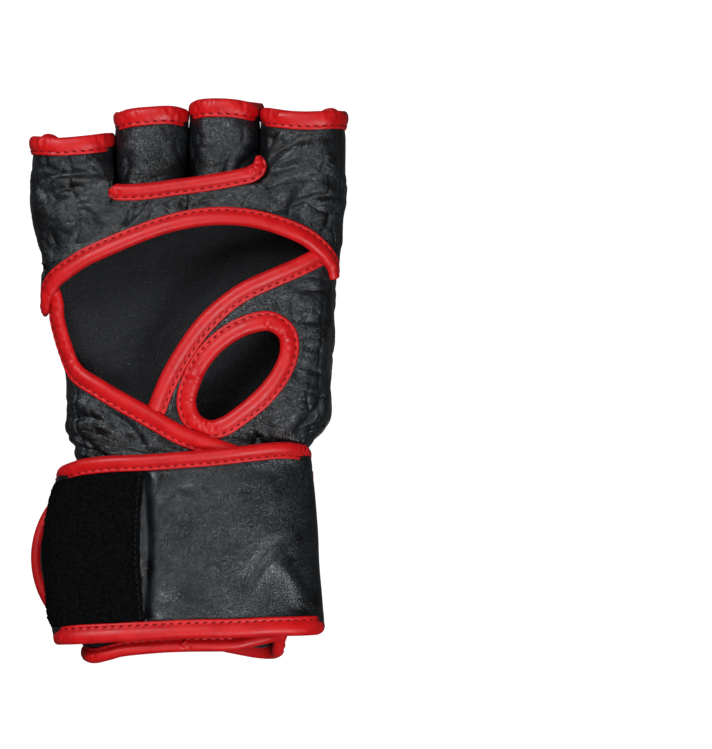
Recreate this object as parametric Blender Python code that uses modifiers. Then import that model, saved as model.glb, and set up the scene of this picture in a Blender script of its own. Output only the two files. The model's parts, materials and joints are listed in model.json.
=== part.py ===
"""Open-palm MMA glove for the right hand, lying on its padded back with the palm up.

+X is the thumb side, +Y runs to the fingertips and +Z is up, out of the palm.
The origin is at the middle of the glove's underside. Lengths are in millimetres
until mesh_object turns them into metres.
"""
from collections import namedtuple
from math import atan2, copysign, cos, hypot, pi, radians, sin

import bmesh
import bpy
from mathutils import Vector

MM = 0.001

# ---------------------------------------------------------------- driving dimensions
LEATHER = 1.6            # panels and shells
LINING = 1.0             # twill lining sheets
GAP = 0.4                # left between neighbours, so that no two solids touch
FOAM_GAP = 0.9           # more room where two curved walls face each other
BINDING_THICKNESS = 2.0  # leather binding laid along a panel's edge
RIM_THICKNESS = 3.0      # binding folded over the end of a finger or of the strap
BINDING_WIDTH = 7.2
SLOT_BINDING_WIDTH = 6.6

HAND_BOTTOM = -1.2       # the rounded section dips under the floor and is cut flat at z = 0
UPPER_PANEL_INSET = 1.2  # palm band and heel panel, below the highest bindings
THUMB_BINDING_LEVEL = 1.0    # the thumb piece lies one layer lower, under the heel panel's edge
THUMB_PANEL_INSET = 3.9
UPPER_BINDING_LEVEL = -1.9
SIDE_LIMIT = 0.965       # how far out the palm panels reach, as a share of the half width
BINDING_LIMIT = 0.93     # the same for the bindings
RIM_ANGLE = radians(9)   # height of the back shell's upper edge on each side wall

WRIST_Y = -30.0          # where the hand part meets the cuff
KNUCKLE_Y = 38.0         # joint between the backhand foam and the knuckle foam
FINGER_Y = 80.0          # crease at which the finger loops bend
FINGER_PIVOT_Z = 39.6
FINGER_STEP = 0.6        # clearance on each side of the crease

CUFF_END_Y = -106.4
CUFF_RIM_Y = -112.6
CUFF_BOTTOM_Z = 4.8
CUFF_TOP_Z = 34.0

STRAP_TOP_Z = 39.6
STRAP_BOTTOM_Z = 1.0
STRAP_THICKNESS = 2.2
STRAP_WIDTH = 74.0
STRAP_BINDING_WIDTH = 7.4
LOOP_PATCH_EDGE_X = -19.5
LOOP_PATCH_THICKNESS = 1.0

FLAP_PIVOT_X = 52.6
FLAP_PIVOT_Z = 2.1
FLAP_ROOT_X = 50.6
FLAP_CENTRE_Y = -71.5
FLAP_HALF_WIDTH = 35.6
FLAP_TIP_CENTRE_X = -29.0
FLAP_BINDING_WIDTH = 6.0
FLAP_BINDING_THICKNESS = 3.4

# half outlines seen from above: (y, x)
HAND_LEFT = ((-34, -45.6), (-20, -48.6), (3, -49.2), (21, -54.4), (35, -58), (54, -60.4), (80, -63.6))
HAND_RIGHT = ((-34, 46.6), (-24, 50.4), (-12, 57.6), (7, 58.6), (29, 59.8), (54, 61.4), (80, 64.0))
CUFF_LEFT = ((-113, -43.0), (-70, -44.6), (-30, -45.6))
CUFF_RIGHT = ((-113, 40.4), (-70, 43.0), (-30, 46.2))
STRAP_LEFT = ((-104, -55.0), (-95, -56.6), (-71, -58.4), (-49, -56.2), (-40, -54.0))
STRAP_RIGHT = ((-100, 55.4), (-75, 53.8), (-43, 51.8), (-27, 50.2))
PALM_HEIGHT = ((-34, 34.0), (0, 36.5), (40, 39.5), (80, 40.0))
PADDING_HEIGHT = ((-34, 12.5), (20, 13.5), (50, 16.5), (80, 17.0))

# strap edges on the palm side: (x, y)
STRAP_UPPER_EDGE = ((-58, -36.0), (-42.6, -31.0), (-10.6, -28.2), (13.4, -26.2), (37.4, -24.2), (46, -24.6), (51, -31.0))
STRAP_LOWER_EDGE = ((-58, -106.2), (-30.6, -104.2), (5.4, -102.6), (45.4, -101.6), (56, -101.6))

# binding centrelines on the palm, seen from above: (x, y)
PALM_ARC = ((-52, 37.5), (-49.8, 43.6), (-34.6, 52.4), (-18.6, 59.2), (-2.6, 64.4), (13.4, 66.2),
            (29.4, 64.8), (45.4, 59.2), (54.5, 51.5))
FINGER_SLOT = ((-28.4, 76.6), (-14.6, 76.4), (-2.6, 78), (9.4, 79.6), (21.4, 81.6), (27.0, 84.2))
HEEL_EDGE = ((-50.6, 31.5), (-49.2, 24.8), (-47.4, 14.8), (-43.6, 4), (-34.6, -2.4), (-18.6, -12),
             (-2.6, -19.8), (6.4, -23.4))
THUMB_EDGE = ((47.6, 47.6), (33.4, 41.2), (23.4, 36.4), (14.2, 29.6), (5.4, 20.8), (-1.4, 11.2),
              (-6.6, 1.6), (-9.0, -5.4))
THUMB_HOLE = ((34.2, 24), (40.6, 18.8), (41, 10.8), (37.8, 2.8), (31.4, -5.2), (23.4, -12),
              (15.4, -18), (8.6, -19.2), (2.2, -15.2), (-0.2, -8), (1.4, 0), (5.4, 8), (11.4, 14.8),
              (19.4, 20.4), (27.4, 23.6))
THUMB_CENTRE = (20.5, 2.0)

# panel outlines on the palm: (x, y)
BAND_FINGER_EDGE = ((-55.4, 79.4), (-34, 79.4), (-27.6, 72.3), (-14, 72.4), (0, 74.2), (14, 76.4),
                    (23, 77.9), (31, 79.4), (56, 79.4))
HEEL_OUTER_EDGE = ((-54.2, 22.0), (-52.4, 14), (-48.6, 4), (-47, -8), (-46, -20), (-40, -29.4),
                   (-20, -29.4), (-4, -29.4), (1.0, -29.4))
THUMB_OUTER_EDGE = ((45.6, 41.8), (54.4, 44.6), (54.8, 26), (54.2, 4), (51.8, -14), (46.0, -25),
                    (37.0, -28.7), (17.6, -28.7), (2.0, -18.4), (-4.2, -11.0), (-3.0, -4.0), (1.6, 5.0),
                    (9.6, 17.0), (18.0, 25.6), (32.0, 34.6))

Finger = namedtuple("Finger", "name left right mouth_y rim_y top_z")
FINGERS = (Finger("pinky", -63.2, -29.8, 91.4, 98.0, 39.0),
           Finger("ring", -29.0, 0.1, 102.4, 109.2, 34.6),
           Finger("middle", 0.9, 28.8, 106.2, 112.7, 34.6),
           Finger("index", 29.6, 64.2, 101.4, 108.2, 39.0))
FINGER_BOTTOM_Z = 0.6
FINGER_PAD_TOP_Z = 14.0

# colour (linear), roughness, metallic
LOOKS = {"leather": ((0.016, 0.016, 0.018, 1), 0.42, 0.0),
         "binding": ((0.63, 0.022, 0.028, 1), 0.45, 0.0),
         "lining": ((0.010, 0.010, 0.011, 1), 0.90, 0.0),
         "foam": ((0.10, 0.10, 0.11, 1), 0.95, 0.0),
         "loop": ((0.006, 0.006, 0.007, 1), 1.0, 0.0),
         "hook": ((0.012, 0.012, 0.013, 1), 0.7, 0.0)}

Section = namedtuple("Section", "centre_x centre_z half_width half_height power floor_z")
Body = namedtuple("Body", "empty pivot")


# ---------------------------------------------------------------- curves and sections
def smooth_points(points, per_span, closed=False):
    """Catmull-Rom curve through the points, per_span steps for each span."""
    knots = [Vector(p) for p in points]
    count = len(knots)
    spans = count if closed else count - 1
    curve = []
    for i in range(spans):
        if closed:
            p0, p1, p2, p3 = (knots[(i + k) % count] for k in (-1, 0, 1, 2))
        else:
            p0, p1, p2, p3 = (knots[min(max(i + k, 0), count - 1)] for k in (-1, 0, 1, 2))
        for step in range(per_span):
            t = step / per_span
            curve.append(0.5 * (2 * p1 + (p2 - p0) * t + (2 * p0 - 5 * p1 + 4 * p2 - p3) * t ** 2
                                + (3 * p1 - p0 - 3 * p2 + p3) * t ** 3))
    if not closed:
        curve.append(knots[-1])
    return curve


def even_points(points, count, closed=False):
    """count points at equal distances along the smooth curve through the given ones."""
    curve = smooth_points(points, 12, closed)
    if closed:
        curve.append(curve[0])
    lengths = [0.0]
    for a, b in zip(curve, curve[1:]):
        lengths.append(lengths[-1] + (b - a).length)
    result = []
    segment = 0
    for i in range(count):
        target = lengths[-1] * i / (count if closed else count - 1)
        while segment < len(curve) - 2 and lengths[segment + 1] < target:
            segment += 1
        span = lengths[segment + 1] - lengths[segment]
        result.append(curve[segment].lerp(curve[segment + 1], (target - lengths[segment]) / span))
    return result


def interpolate(table, key):
    """Value at key in a table of (key, value) rows, joined by smooth steps of slope."""
    rows = sorted(table)
    if key <= rows[0][0]:
        return rows[0][1]
    for (k0, v0), (k1, v1) in zip(rows, rows[1:]):
        if key <= k1:
            return v0 + (v1 - v0) * (key - k0) / (k1 - k0)
    return rows[-1][1]


def normals_2d(line, closed=False):
    """Unit normals to the left of a plan line."""
    count = len(line)
    normals = []
    for i in range(count):
        ahead = line[(i + 1) % count] if closed else line[min(i + 1, count - 1)]
        behind = line[i - 1] if closed else line[max(i - 1, 0)]
        along = (ahead - behind).normalized()
        normals.append(Vector((-along.y, along.x)))
    return normals


def hand_section(y):
    left, right = interpolate(HAND_LEFT, y), interpolate(HAND_RIGHT, y)
    top = interpolate(PALM_HEIGHT, y)
    return Section((left + right) / 2, (top + HAND_BOTTOM) / 2, (right - left) / 2,
                   (top - HAND_BOTTOM) / 2, 4.0, 0.0)


def lining_section(y):
    """The hand lining lies in the padding like a shallow trough."""
    hand = hand_section(y)
    bottom = interpolate(PADDING_HEIGHT, y)
    rim = 2 * hand.centre_z - 6.0
    return Section(hand.centre_x, rim, hand.half_width - 4.6, rim - bottom, 3.0, -50.0)


def cuff_section(y):
    left, right = interpolate(CUFF_LEFT, y), interpolate(CUFF_RIGHT, y)
    return Section((left + right) / 2, (CUFF_TOP_Z + CUFF_BOTTOM_Z) / 2, (right - left) / 2,
                   (CUFF_TOP_Z - CUFF_BOTTOM_Z) / 2, 3.0, -50.0)


def strap_section(y):
    left, right = interpolate(STRAP_LEFT, y), interpolate(STRAP_RIGHT, y)
    return Section((left + right) / 2, (STRAP_TOP_Z + STRAP_BOTTOM_Z) / 2, (right - left) / 2,
                   (STRAP_TOP_Z - STRAP_BOTTOM_Z) / 2, 5.0, -50.0)


def finger_section(finger, bottom=FINGER_BOTTOM_Z):
    return Section((finger.left + finger.right) / 2, (finger.top_z + bottom) / 2,
                   (finger.right - finger.left) / 2, (finger.top_z - bottom) / 2, 3.4, -50.0)


def section_point(section, angle, inset, y):
    """Point on a section's rounded outline, moved inwards by inset."""
    power = 2 / section.power
    x = copysign(abs(cos(angle)) ** power, cos(angle)) * (section.half_width - inset)
    z = copysign(abs(sin(angle)) ** power, sin(angle)) * (section.half_height - inset)
    return Vector((section.centre_x + x, y, max(section.centre_z + z, section.floor_z + inset)))


def section_arc(section, start, end, count, inset, y):
    return [section_point(section, start + (end - start) * i / (count - 1), inset, y)
            for i in range(count)]


def palm_point(x, y, inset):
    """Point on the palm's upper surface above (x, y), moved in by inset."""
    hand = hand_section(y)
    share = (x - hand.centre_x) / (hand.half_width - inset)
    share = min(max(share, -0.97), 0.97)
    z = hand.centre_z + (hand.half_height - inset) * (1 - share ** 4) ** 0.25
    return Vector((hand.centre_x + share * (hand.half_width - inset), y, z))


def steps(start, end, count):
    return [start + (end - start) * i / (count - 1) for i in range(count)]


# ---------------------------------------------------------------- objects
def material(name, look):
    colour, roughness, metallic = LOOKS[look]
    made = bpy.data.materials.new(name)
    made.use_nodes = True
    shader = made.node_tree.nodes["Principled BSDF"]
    shader.inputs["Base Color"].default_value = colour
    shader.inputs["Roughness"].default_value = roughness
    shader.inputs["Metallic"].default_value = metallic
    made.diffuse_color = colour
    return made


def add_body(name, pivot, collection):
    """An empty on the joint's axis, which the body's pieces hang from."""
    empty = bpy.data.objects.new(name + "_pivot", None)
    empty.location = Vector(pivot) * MM
    collection.objects.link(empty)
    return Body(empty, Vector(pivot))


def mesh_object(name, rows, wrap, look, body, collection, caps=False):
    """Object from rows of points; wrap joins each row's ends, caps closes the first and last."""
    mesh = bpy.data.meshes.new(name)
    shape = bmesh.new()
    grid = [[shape.verts.new((point - body.pivot) * MM) for point in row] for row in rows]
    width = len(grid[0])
    for lower, upper in zip(grid, grid[1:]):
        for i in range(width if wrap else width - 1):
            j = (i + 1) % width
            shape.faces.new((lower[i], lower[j], upper[j], upper[i]))
    if caps:
        shape.faces.new(reversed(grid[0]))
        shape.faces.new(grid[-1])
    bmesh.ops.recalc_face_normals(shape, faces=shape.faces[:])
    shape.to_mesh(mesh)
    shape.free()
    mesh.shade_smooth()
    mesh.set_sharp_from_angle(angle=radians(40))
    mesh.materials.append(material(name, look))
    made = bpy.data.objects.new(name, mesh)
    made.parent = body.empty
    collection.objects.link(made)
    return made


def sheet(name, rows, thickness, look, body, collection, wrap=False):
    """Closed shell around an open surface, half the thickness to each side."""
    made = mesh_object(name, rows, wrap, look, body, collection)
    solidify = made.modifiers.new("Solidify", "SOLIDIFY")
    solidify.thickness = thickness * MM
    solidify.offset = 0.0
    return made


def crowned_strip(name, rails, thickness, look, body, collection, closed=False):
    """A binding: a strip given by its rails from edge to edge."""
    rows = [list(row) for row in zip(*rails)]
    if closed:
        rows.append(rows[0])
        columns = [list(column) for column in zip(*rows[:-1])]
        return sheet(name, columns, thickness, look, body, collection, wrap=True)
    return sheet(name, rows, thickness, look, body, collection)


# ---------------------------------------------------------------- palm pieces
BINDING_PROFILE = ((-1.0, 0.5), (0.0, 0.0), (1.0, 0.5))


def palm_binding(name, centreline, width, level, body, collection, count, closed=False):
    """A binding that follows the palm's surface, rounded across its width."""
    line = even_points(centreline, count, closed)
    sideways = normals_2d(line, closed)
    half = width / 2 - BINDING_THICKNESS / 4
    rails = []
    for across, drop in BINDING_PROFILE:
        rail = []
        for point, normal in zip(line, sideways):
            place = point + normal * across * half
            hand = hand_section(place.y)
            reach = BINDING_LIMIT * hand.half_width
            x = min(max(place.x, hand.centre_x - reach), hand.centre_x + reach)
            rail.append(palm_point(x, place.y, level + drop + BINDING_THICKNESS / 2))
        rails.append(rail)
    return crowned_strip(name, rails, BINDING_THICKNESS, "binding", body, collection, closed)


def shifted(line_points, count, distance):
    """The smooth line through the points, moved to its left by distance."""
    line = even_points(line_points, count)
    return [point + normal * distance for point, normal in zip(line, normals_2d(line))]


def inside_palm(point, inset):
    hand = hand_section(point.y)
    reach = SIDE_LIMIT * hand.half_width
    x = min(max(point.x, hand.centre_x - reach), hand.centre_x + reach)
    return palm_point(x, point.y, inset + LEATHER / 2)


def palm_panel(name, edge_a, edge_b, inset, rows_count, body, collection, wrap=False):
    """Leather between two plan edges that have the same number of points."""
    rows = []
    for share in steps(0.0, 1.0, rows_count):
        rows.append([inside_palm(a.lerp(b, share), inset) for a, b in zip(edge_a, edge_b)])
    return sheet(name, rows, LEATHER, "leather", body, collection, wrap)


def ray_to_outline(outline, centre, angle):
    """Where a ray from the centre leaves a closed plan outline."""
    ray = Vector((cos(angle), sin(angle)))
    best = None
    for a, b in zip(outline, outline[1:] + outline[:1]):
        edge = b - a
        cross = ray.x * edge.y - ray.y * edge.x
        if abs(cross) < 1e-9:
            continue
        to_a = a - centre
        along_ray = (to_a.x * edge.y - to_a.y * edge.x) / cross
        along_edge = (to_a.x * ray.y - to_a.y * ray.x) / cross
        if along_ray > 0 and 0 <= along_edge <= 1 and (best is None or along_ray > best):
            best = along_ray
    return centre + ray * best


def build_palm(root, collection):
    under = BINDING_WIDTH / 4
    columns = 21
    arc_side = shifted(PALM_ARC, columns, under)
    finger_side = even_points(BAND_FINGER_EDGE, columns)
    palm_panel("palm_band", arc_side, finger_side, UPPER_PANEL_INSET, 4, root, collection)
    bindings = (("palm_arc_binding", PALM_ARC, BINDING_WIDTH, UPPER_BINDING_LEVEL, 22, False),
                ("finger_slot_binding", FINGER_SLOT, SLOT_BINDING_WIDTH, UPPER_BINDING_LEVEL, 14, False),
                ("heel_panel_binding", HEEL_EDGE, BINDING_WIDTH, UPPER_BINDING_LEVEL, 22, False),
                ("thumb_panel_binding", THUMB_EDGE, BINDING_WIDTH, THUMB_BINDING_LEVEL, 18, False),
                ("thumb_hole_binding", THUMB_HOLE, BINDING_WIDTH, THUMB_BINDING_LEVEL, 34, True))
    for name, centreline, width, level, count, closed in bindings:
        palm_binding(name, centreline, width, level, root, collection, count, closed)

    heel_inner = shifted(HEEL_EDGE, columns, -under)
    heel_outer = even_points(HEEL_OUTER_EDGE, columns)
    palm_panel("heel_panel", heel_inner, heel_outer, UPPER_PANEL_INSET, 4, root, collection)

    centre = Vector(THUMB_CENTRE)
    hole = even_points(THUMB_HOLE, 36, closed=True)
    hole_edge = [point + normal * under for point, normal in zip(hole, normals_2d(hole, True))]
    outline = smooth_points(THUMB_OUTER_EDGE, 6, closed=True)
    inner, outer = [], []
    for i in range(36):
        angle = 2 * pi * i / 36
        inner.append(ray_to_outline(hole_edge, centre, angle))
        outer.append(ray_to_outline(outline, centre, angle))
    palm_panel("thumb_panel", inner, outer, THUMB_PANEL_INSET, 4, root, collection, wrap=True)


# ---------------------------------------------------------------- padded back of the hand
def build_back(root, collection):
    stations = steps(WRIST_Y, FINGER_Y - 0.3, 9)
    start, end = pi - RIM_ANGLE, 2 * pi + RIM_ANGLE
    rows = [section_arc(hand_section(y), start, end, 23, LEATHER / 2, y) for y in stations]
    sheet("back_shell", rows, LEATHER, "leather", root, collection)

    low, high = pi + radians(18), 2 * pi - radians(18)
    foams = (("backhand_foam", WRIST_Y + 0.6, KNUCKLE_Y - GAP / 2),
             ("knuckle_foam", KNUCKLE_Y + GAP / 2, FINGER_Y - 0.6))
    for name, y_start, y_end in foams:
        rings = []
        for y in steps(y_start, y_end, 6):
            outer = section_arc(hand_section(y), low, high, 17, LEATHER + FOAM_GAP, y)
            inner = section_arc(lining_section(y), low, high, 17, -FOAM_GAP, y)
            rings.append(outer + inner[::-1])
        mesh_object(name, rings, True, "foam", root, collection, caps=True)

    rows = [section_arc(lining_section(y), pi + radians(10), 2 * pi - radians(10), 21, LINING / 2, y)
            for y in steps(WRIST_Y + 0.6, FINGER_Y - 0.6, 8)]
    sheet("hand_lining", rows, LINING, "lining", root, collection)


# ---------------------------------------------------------------- fingers
def ring_row(section, inset, y, count):
    return [section_point(section, 2 * pi * i / count, inset, y) for i in range(count)]


def build_finger(finger, body, collection):
    """Leather sleeve with its back pad, lining tube and the binding round its mouth."""
    sides = 24
    outer = finger_section(finger)
    start_y = FINGER_Y + FINGER_STEP
    rows = [ring_row(outer, LEATHER / 2, y, sides) for y in steps(start_y, finger.mouth_y - GAP, 3)]
    sheet(finger.name + "_sleeve", rows, LEATHER, "leather", body, collection, wrap=True)

    pad_inset = LEATHER + GAP
    rings = []
    for y in (start_y, finger.mouth_y - GAP):
        lower = section_arc(outer, pi + radians(8), 2 * pi - radians(8), 13, pad_inset, y)
        flat = [Vector((point.x, y, min(point.z, FINGER_PAD_TOP_Z))) for point in lower]
        top = [Vector((x, y, FINGER_PAD_TOP_Z)) for x in steps(flat[-1].x - 0.4, flat[0].x + 0.4, 5)]
        rings.append(flat + top)
    mesh_object(finger.name + "_pad", rings, True, "foam", body, collection, caps=True)

    room = Section(outer.centre_x, (FINGER_PAD_TOP_Z + finger.top_z - pad_inset + GAP) / 2,
                   outer.half_width - pad_inset - 0.8,
                   (finger.top_z - pad_inset - GAP - FINGER_PAD_TOP_Z) / 2 - 0.2, 2.3, -50.0)
    rows = [ring_row(room, LINING / 2, y, sides) for y in (start_y, finger.mouth_y - GAP)]
    sheet(finger.name + "_lining", rows, LINING, "lining", body, collection, wrap=True)

    middle_y = (finger.mouth_y + finger.rim_y) / 2
    half = RIM_THICKNESS / 2
    rows = [ring_row(outer, half + 0.2, finger.mouth_y, sides),
            ring_row(outer, half - 0.4, middle_y, sides),
            ring_row(outer, half + 0.2, finger.rim_y, sides)]
    sheet(finger.name + "_binding", rows, RIM_THICKNESS, "binding", body, collection, wrap=True)


# ---------------------------------------------------------------- cuff
def build_cuff(root, collection):
    """Wrist tube of three layers, with a binding round its open end."""
    layers = (("cuff_shell", "leather", LEATHER / 2, LEATHER),
              ("cuff_padding", "foam", LEATHER + GAP + 1.2, 2.4),
              ("cuff_lining", "lining", LEATHER + GAP * 2 + 2.4 + LINING / 2, LINING))
    for name, look, inset, thickness in layers:
        rows = [ring_row(cuff_section(y), inset, y, 28) for y in steps(WRIST_Y - GAP, CUFF_END_Y, 4)]
        sheet(name, rows, thickness, look, root, collection, wrap=True)
    rim_steps = ((CUFF_END_Y - GAP, 2.2), ((CUFF_END_Y + CUFF_RIM_Y) / 2, 1.9), (CUFF_RIM_Y, 2.4))
    rows = [ring_row(cuff_section(y), inset, y, 28) for y, inset in rim_steps]
    sheet("cuff_binding", rows, 3.6, "binding", root, collection, wrap=True)


# ---------------------------------------------------------------- wrist strap
STRAP_START = radians(-28)   # lower end on the thumb side
STRAP_END = radians(205)     # lower end on the little-finger side


def strap_point(angle, share, inset):
    """Point on the strap: angle goes round the wrist, share runs from lower to upper edge."""
    x = section_point(strap_section(FLAP_CENTRE_Y), angle, 0, 0).x
    lower, upper = interpolate(STRAP_LOWER_EDGE, x), interpolate(STRAP_UPPER_EDGE, x)
    y = lower + (upper - lower) * share
    return section_point(strap_section(y), angle, inset, y)


def strap_layer(name, look, inset, thickness, start, end, count, root, collection):
    margin = (STRAP_BINDING_WIDTH + 2.4) / STRAP_WIDTH
    rows = [[strap_point(angle, share, inset) for share in steps(margin, 1 - margin, 4)]
            for angle in steps(start, end, count)]
    sheet(name, rows, thickness, look, root, collection)


def build_strap(root, collection):
    strap_layer("strap_shell", "leather", STRAP_THICKNESS / 2, STRAP_THICKNESS,
                STRAP_START, STRAP_END, 30, root, collection)
    strap_layer("strap_lining", "lining", STRAP_THICKNESS + GAP + LINING / 2, LINING,
                STRAP_START, STRAP_END, 30, root, collection)
    section = strap_section(FLAP_CENTRE_Y)
    reach = (section.centre_x - LOOP_PATCH_EDGE_X) / section.half_width
    patch_start = pi - atan2((1 - reach ** section.power) ** 0.5, reach ** (section.power / 2))
    strap_layer("loop_patch", "loop", -GAP - LOOP_PATCH_THICKNESS / 2, LOOP_PATCH_THICKNESS,
                patch_start, STRAP_END - radians(1), 16, root, collection)
    width = STRAP_BINDING_WIDTH / STRAP_WIDTH
    bindings = (("strap_bottom_binding", 0.0), ("strap_top_binding", 1.0 - width))
    for name, first in bindings:
        rows = []
        for angle in steps(STRAP_START, STRAP_END, 30):
            rows.append([strap_point(angle, first + width * (across + 1) / 2, 1.2 + drop)
                         for across, drop in BINDING_PROFILE])
        sheet(name, rows, RIM_THICKNESS, "binding", root, collection)


# ---------------------------------------------------------------- closing flap
def flap_outline(inset, tip_steps):
    """Plan outline from one root corner, round the end, to the other root corner."""
    half = FLAP_HALF_WIDTH - inset
    points = [Vector((FLAP_ROOT_X, FLAP_CENTRE_Y + half)), Vector((10, FLAP_CENTRE_Y + half))]
    for angle in steps(pi / 2, 3 * pi / 2, tip_steps):
        points.append(Vector((FLAP_TIP_CENTRE_X + half * cos(angle), FLAP_CENTRE_Y + half * sin(angle))))
    points += [Vector((10, FLAP_CENTRE_Y - half)), Vector((FLAP_ROOT_X, FLAP_CENTRE_Y - half))]
    return points


def flap_plate(name, look, inset, z, thickness, body, collection, right_x=None):
    """Flat plate: a filled outline with an extrude of half the thickness."""
    outline = flap_outline(inset, 15)
    if right_x is not None:
        outline = [Vector((min(point.x, right_x), point.y)) for point in outline[1:-1]]
    curve = bpy.data.curves.new(name, "CURVE")
    curve.dimensions = "2D"
    curve.fill_mode = "BOTH"
    curve.extrude = thickness / 2 * MM
    spline = curve.splines.new("POLY")
    spline.points.add(len(outline) - 1)
    for place, point in zip(spline.points, outline):
        x, y = point - body.pivot.xy
        place.co = (x * MM, y * MM, 0, 1)
    spline.use_cyclic_u = True
    curve.materials.append(material(name, look))
    made = bpy.data.objects.new(name, curve)
    made.location = (0, 0, (z - body.pivot.z) * MM)
    made.parent = body.empty
    collection.objects.link(made)
    return made


def build_flap(body, collection):
    inner = FLAP_BINDING_WIDTH + GAP
    flap_plate("flap_shell", "leather", inner, LEATHER / 2, LEATHER, body, collection)
    flap_plate("flap_lining", "lining", inner, LEATHER + GAP + LINING / 2, LINING, body, collection)
    flap_plate("hook_patch", "hook", inner + 2, LEATHER + LINING + GAP * 2 + 0.4, 0.8, body,
               collection, right_x=FLAP_TIP_CENTRE_X + 16)
    rows = []
    outer_edge, inner_edge = flap_outline(0, 21), flap_outline(FLAP_BINDING_WIDTH, 21)
    for a, b in zip(outer_edge, inner_edge):
        rows.append([Vector((*a.lerp(b, share), FLAP_BINDING_THICKNESS / 2)) for share in (0, 0.5, 1)])
    sheet("flap_binding", rows, FLAP_BINDING_THICKNESS, "binding", body, collection)


# ---------------------------------------------------------------- the whole glove
def main():
    for old in list(bpy.data.objects):
        bpy.data.objects.remove(old, do_unlink=True)
    collection = bpy.data.collections.new("mma_glove")
    bpy.context.scene.collection.children.link(collection)

    root = add_body("glove", (0, 0, 0), collection)
    build_back(root, collection)
    build_palm(root, collection)
    build_cuff(root, collection)
    build_strap(root, collection)
    for finger in FINGERS:
        middle_x = (finger.left + finger.right) / 2
        body = add_body(finger.name, (middle_x, FINGER_Y, FINGER_PIVOT_Z), collection)
        build_finger(finger, body, collection)
    build_flap(add_body("flap", (FLAP_PIVOT_X, FLAP_CENTRE_Y, FLAP_PIVOT_Z), collection), collection)


main()
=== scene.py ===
"""The looks of an open-palm MMA glove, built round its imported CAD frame.

Lengths are in millimetres in the frame's own axes (+X thumb side, +Y fingertips, +Z out of the
palm) until mesh_piece turns them into metres. Every leather surface lies on a Hull: a rounded
section that changes along Y, on which a point is given by q, the distance round the section
from its top line, and by y.
"""
import json
from math import pi

import bpy
import numpy as np
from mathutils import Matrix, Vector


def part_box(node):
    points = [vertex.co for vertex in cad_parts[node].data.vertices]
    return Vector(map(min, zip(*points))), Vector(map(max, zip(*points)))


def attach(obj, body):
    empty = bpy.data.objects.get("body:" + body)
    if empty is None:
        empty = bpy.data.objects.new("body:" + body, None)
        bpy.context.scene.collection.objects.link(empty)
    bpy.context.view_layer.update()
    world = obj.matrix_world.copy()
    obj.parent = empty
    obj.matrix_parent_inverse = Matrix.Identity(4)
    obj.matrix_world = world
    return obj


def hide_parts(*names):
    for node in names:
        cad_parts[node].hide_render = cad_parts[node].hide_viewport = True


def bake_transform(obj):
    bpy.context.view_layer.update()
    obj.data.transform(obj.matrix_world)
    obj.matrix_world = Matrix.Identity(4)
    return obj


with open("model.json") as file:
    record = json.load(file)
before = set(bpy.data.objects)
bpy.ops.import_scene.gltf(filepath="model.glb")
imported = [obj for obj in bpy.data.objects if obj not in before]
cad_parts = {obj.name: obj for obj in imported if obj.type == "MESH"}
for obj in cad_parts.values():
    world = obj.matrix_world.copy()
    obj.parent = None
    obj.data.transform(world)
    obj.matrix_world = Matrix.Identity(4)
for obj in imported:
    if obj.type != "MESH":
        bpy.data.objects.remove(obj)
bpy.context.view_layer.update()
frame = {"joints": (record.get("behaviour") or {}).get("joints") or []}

MM = 0.001


def node_box(name):
    low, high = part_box(name)
    return np.array(low) / MM, np.array(high) / MM


PALM_TOP = node_box("palm_band")[1][2] + 1.0       # highest leather of the palm
CREASE_Y = frame["joints"][0]["pos_m"][1] / MM     # where the finger loops bend
CUFF_LOW, CUFF_HIGH = node_box("cuff_shell")
STRAP_LOW, STRAP_HIGH = node_box("strap_shell")
FLAP_LOW, FLAP_HIGH = node_box("flap_binding")

# ---------------------------------------------------------------- outlines, seen from above
HAND_LEFT = ((-38, -44.0), (-31, -44.8), (-26, -46.2), (-22, -48.3), (-17, -49.5), (-11, -49.0), (3, -49.2),
    (13, -52.4), (21, -54.6), (28, -56.0), (35, -58.2), (43, -58.4), (53, -60.2), (63, -62.2), (73, -63.4),
    (83, -63.8), (93, -62.9))
HAND_RIGHT = ((-38, 46.0), (-30, 47.0), (-26, 49.0), (-22, 52.6), (-18, 56.2), (-13, 57.9), (-5, 58.2),
    (7, 58.6), (17, 59.4), (29, 59.8), (41, 60.4), (52, 61.6), (65, 62.6), (73, 63.8), (85, 64.2),
    (102, 63.8))
PALM_HEIGHT = ((-38, 33.4), (-20, 34.6), (0, 36.4), (40, 39.2), (80, 39.6), (100, 39.0))
CUFF_LEFT = ((-113, -42.6), (-100, -43.4), (-70, -44.6), (-26, -45.4))
CUFF_RIGHT = ((-113, 38.4), (-106, 39.0), (-98, 41.0), (-70, 43.0), (-26, 46.0))
STRAP_LEFT = ((-106, -54.0), (-98, -55.4), (-94, -56.6), (-83, -57.4), (-71, -58.4), (-63, -58.2),
    (-49, -56.2), (-40, -53.6), (-34, -51.4))
STRAP_RIGHT = ((-102, 55.6), (-92, 55.2), (-75, 53.8), (-59, 53.0), (-43, 51.8), (-31, 50.2), (-24, 49.0))

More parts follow.
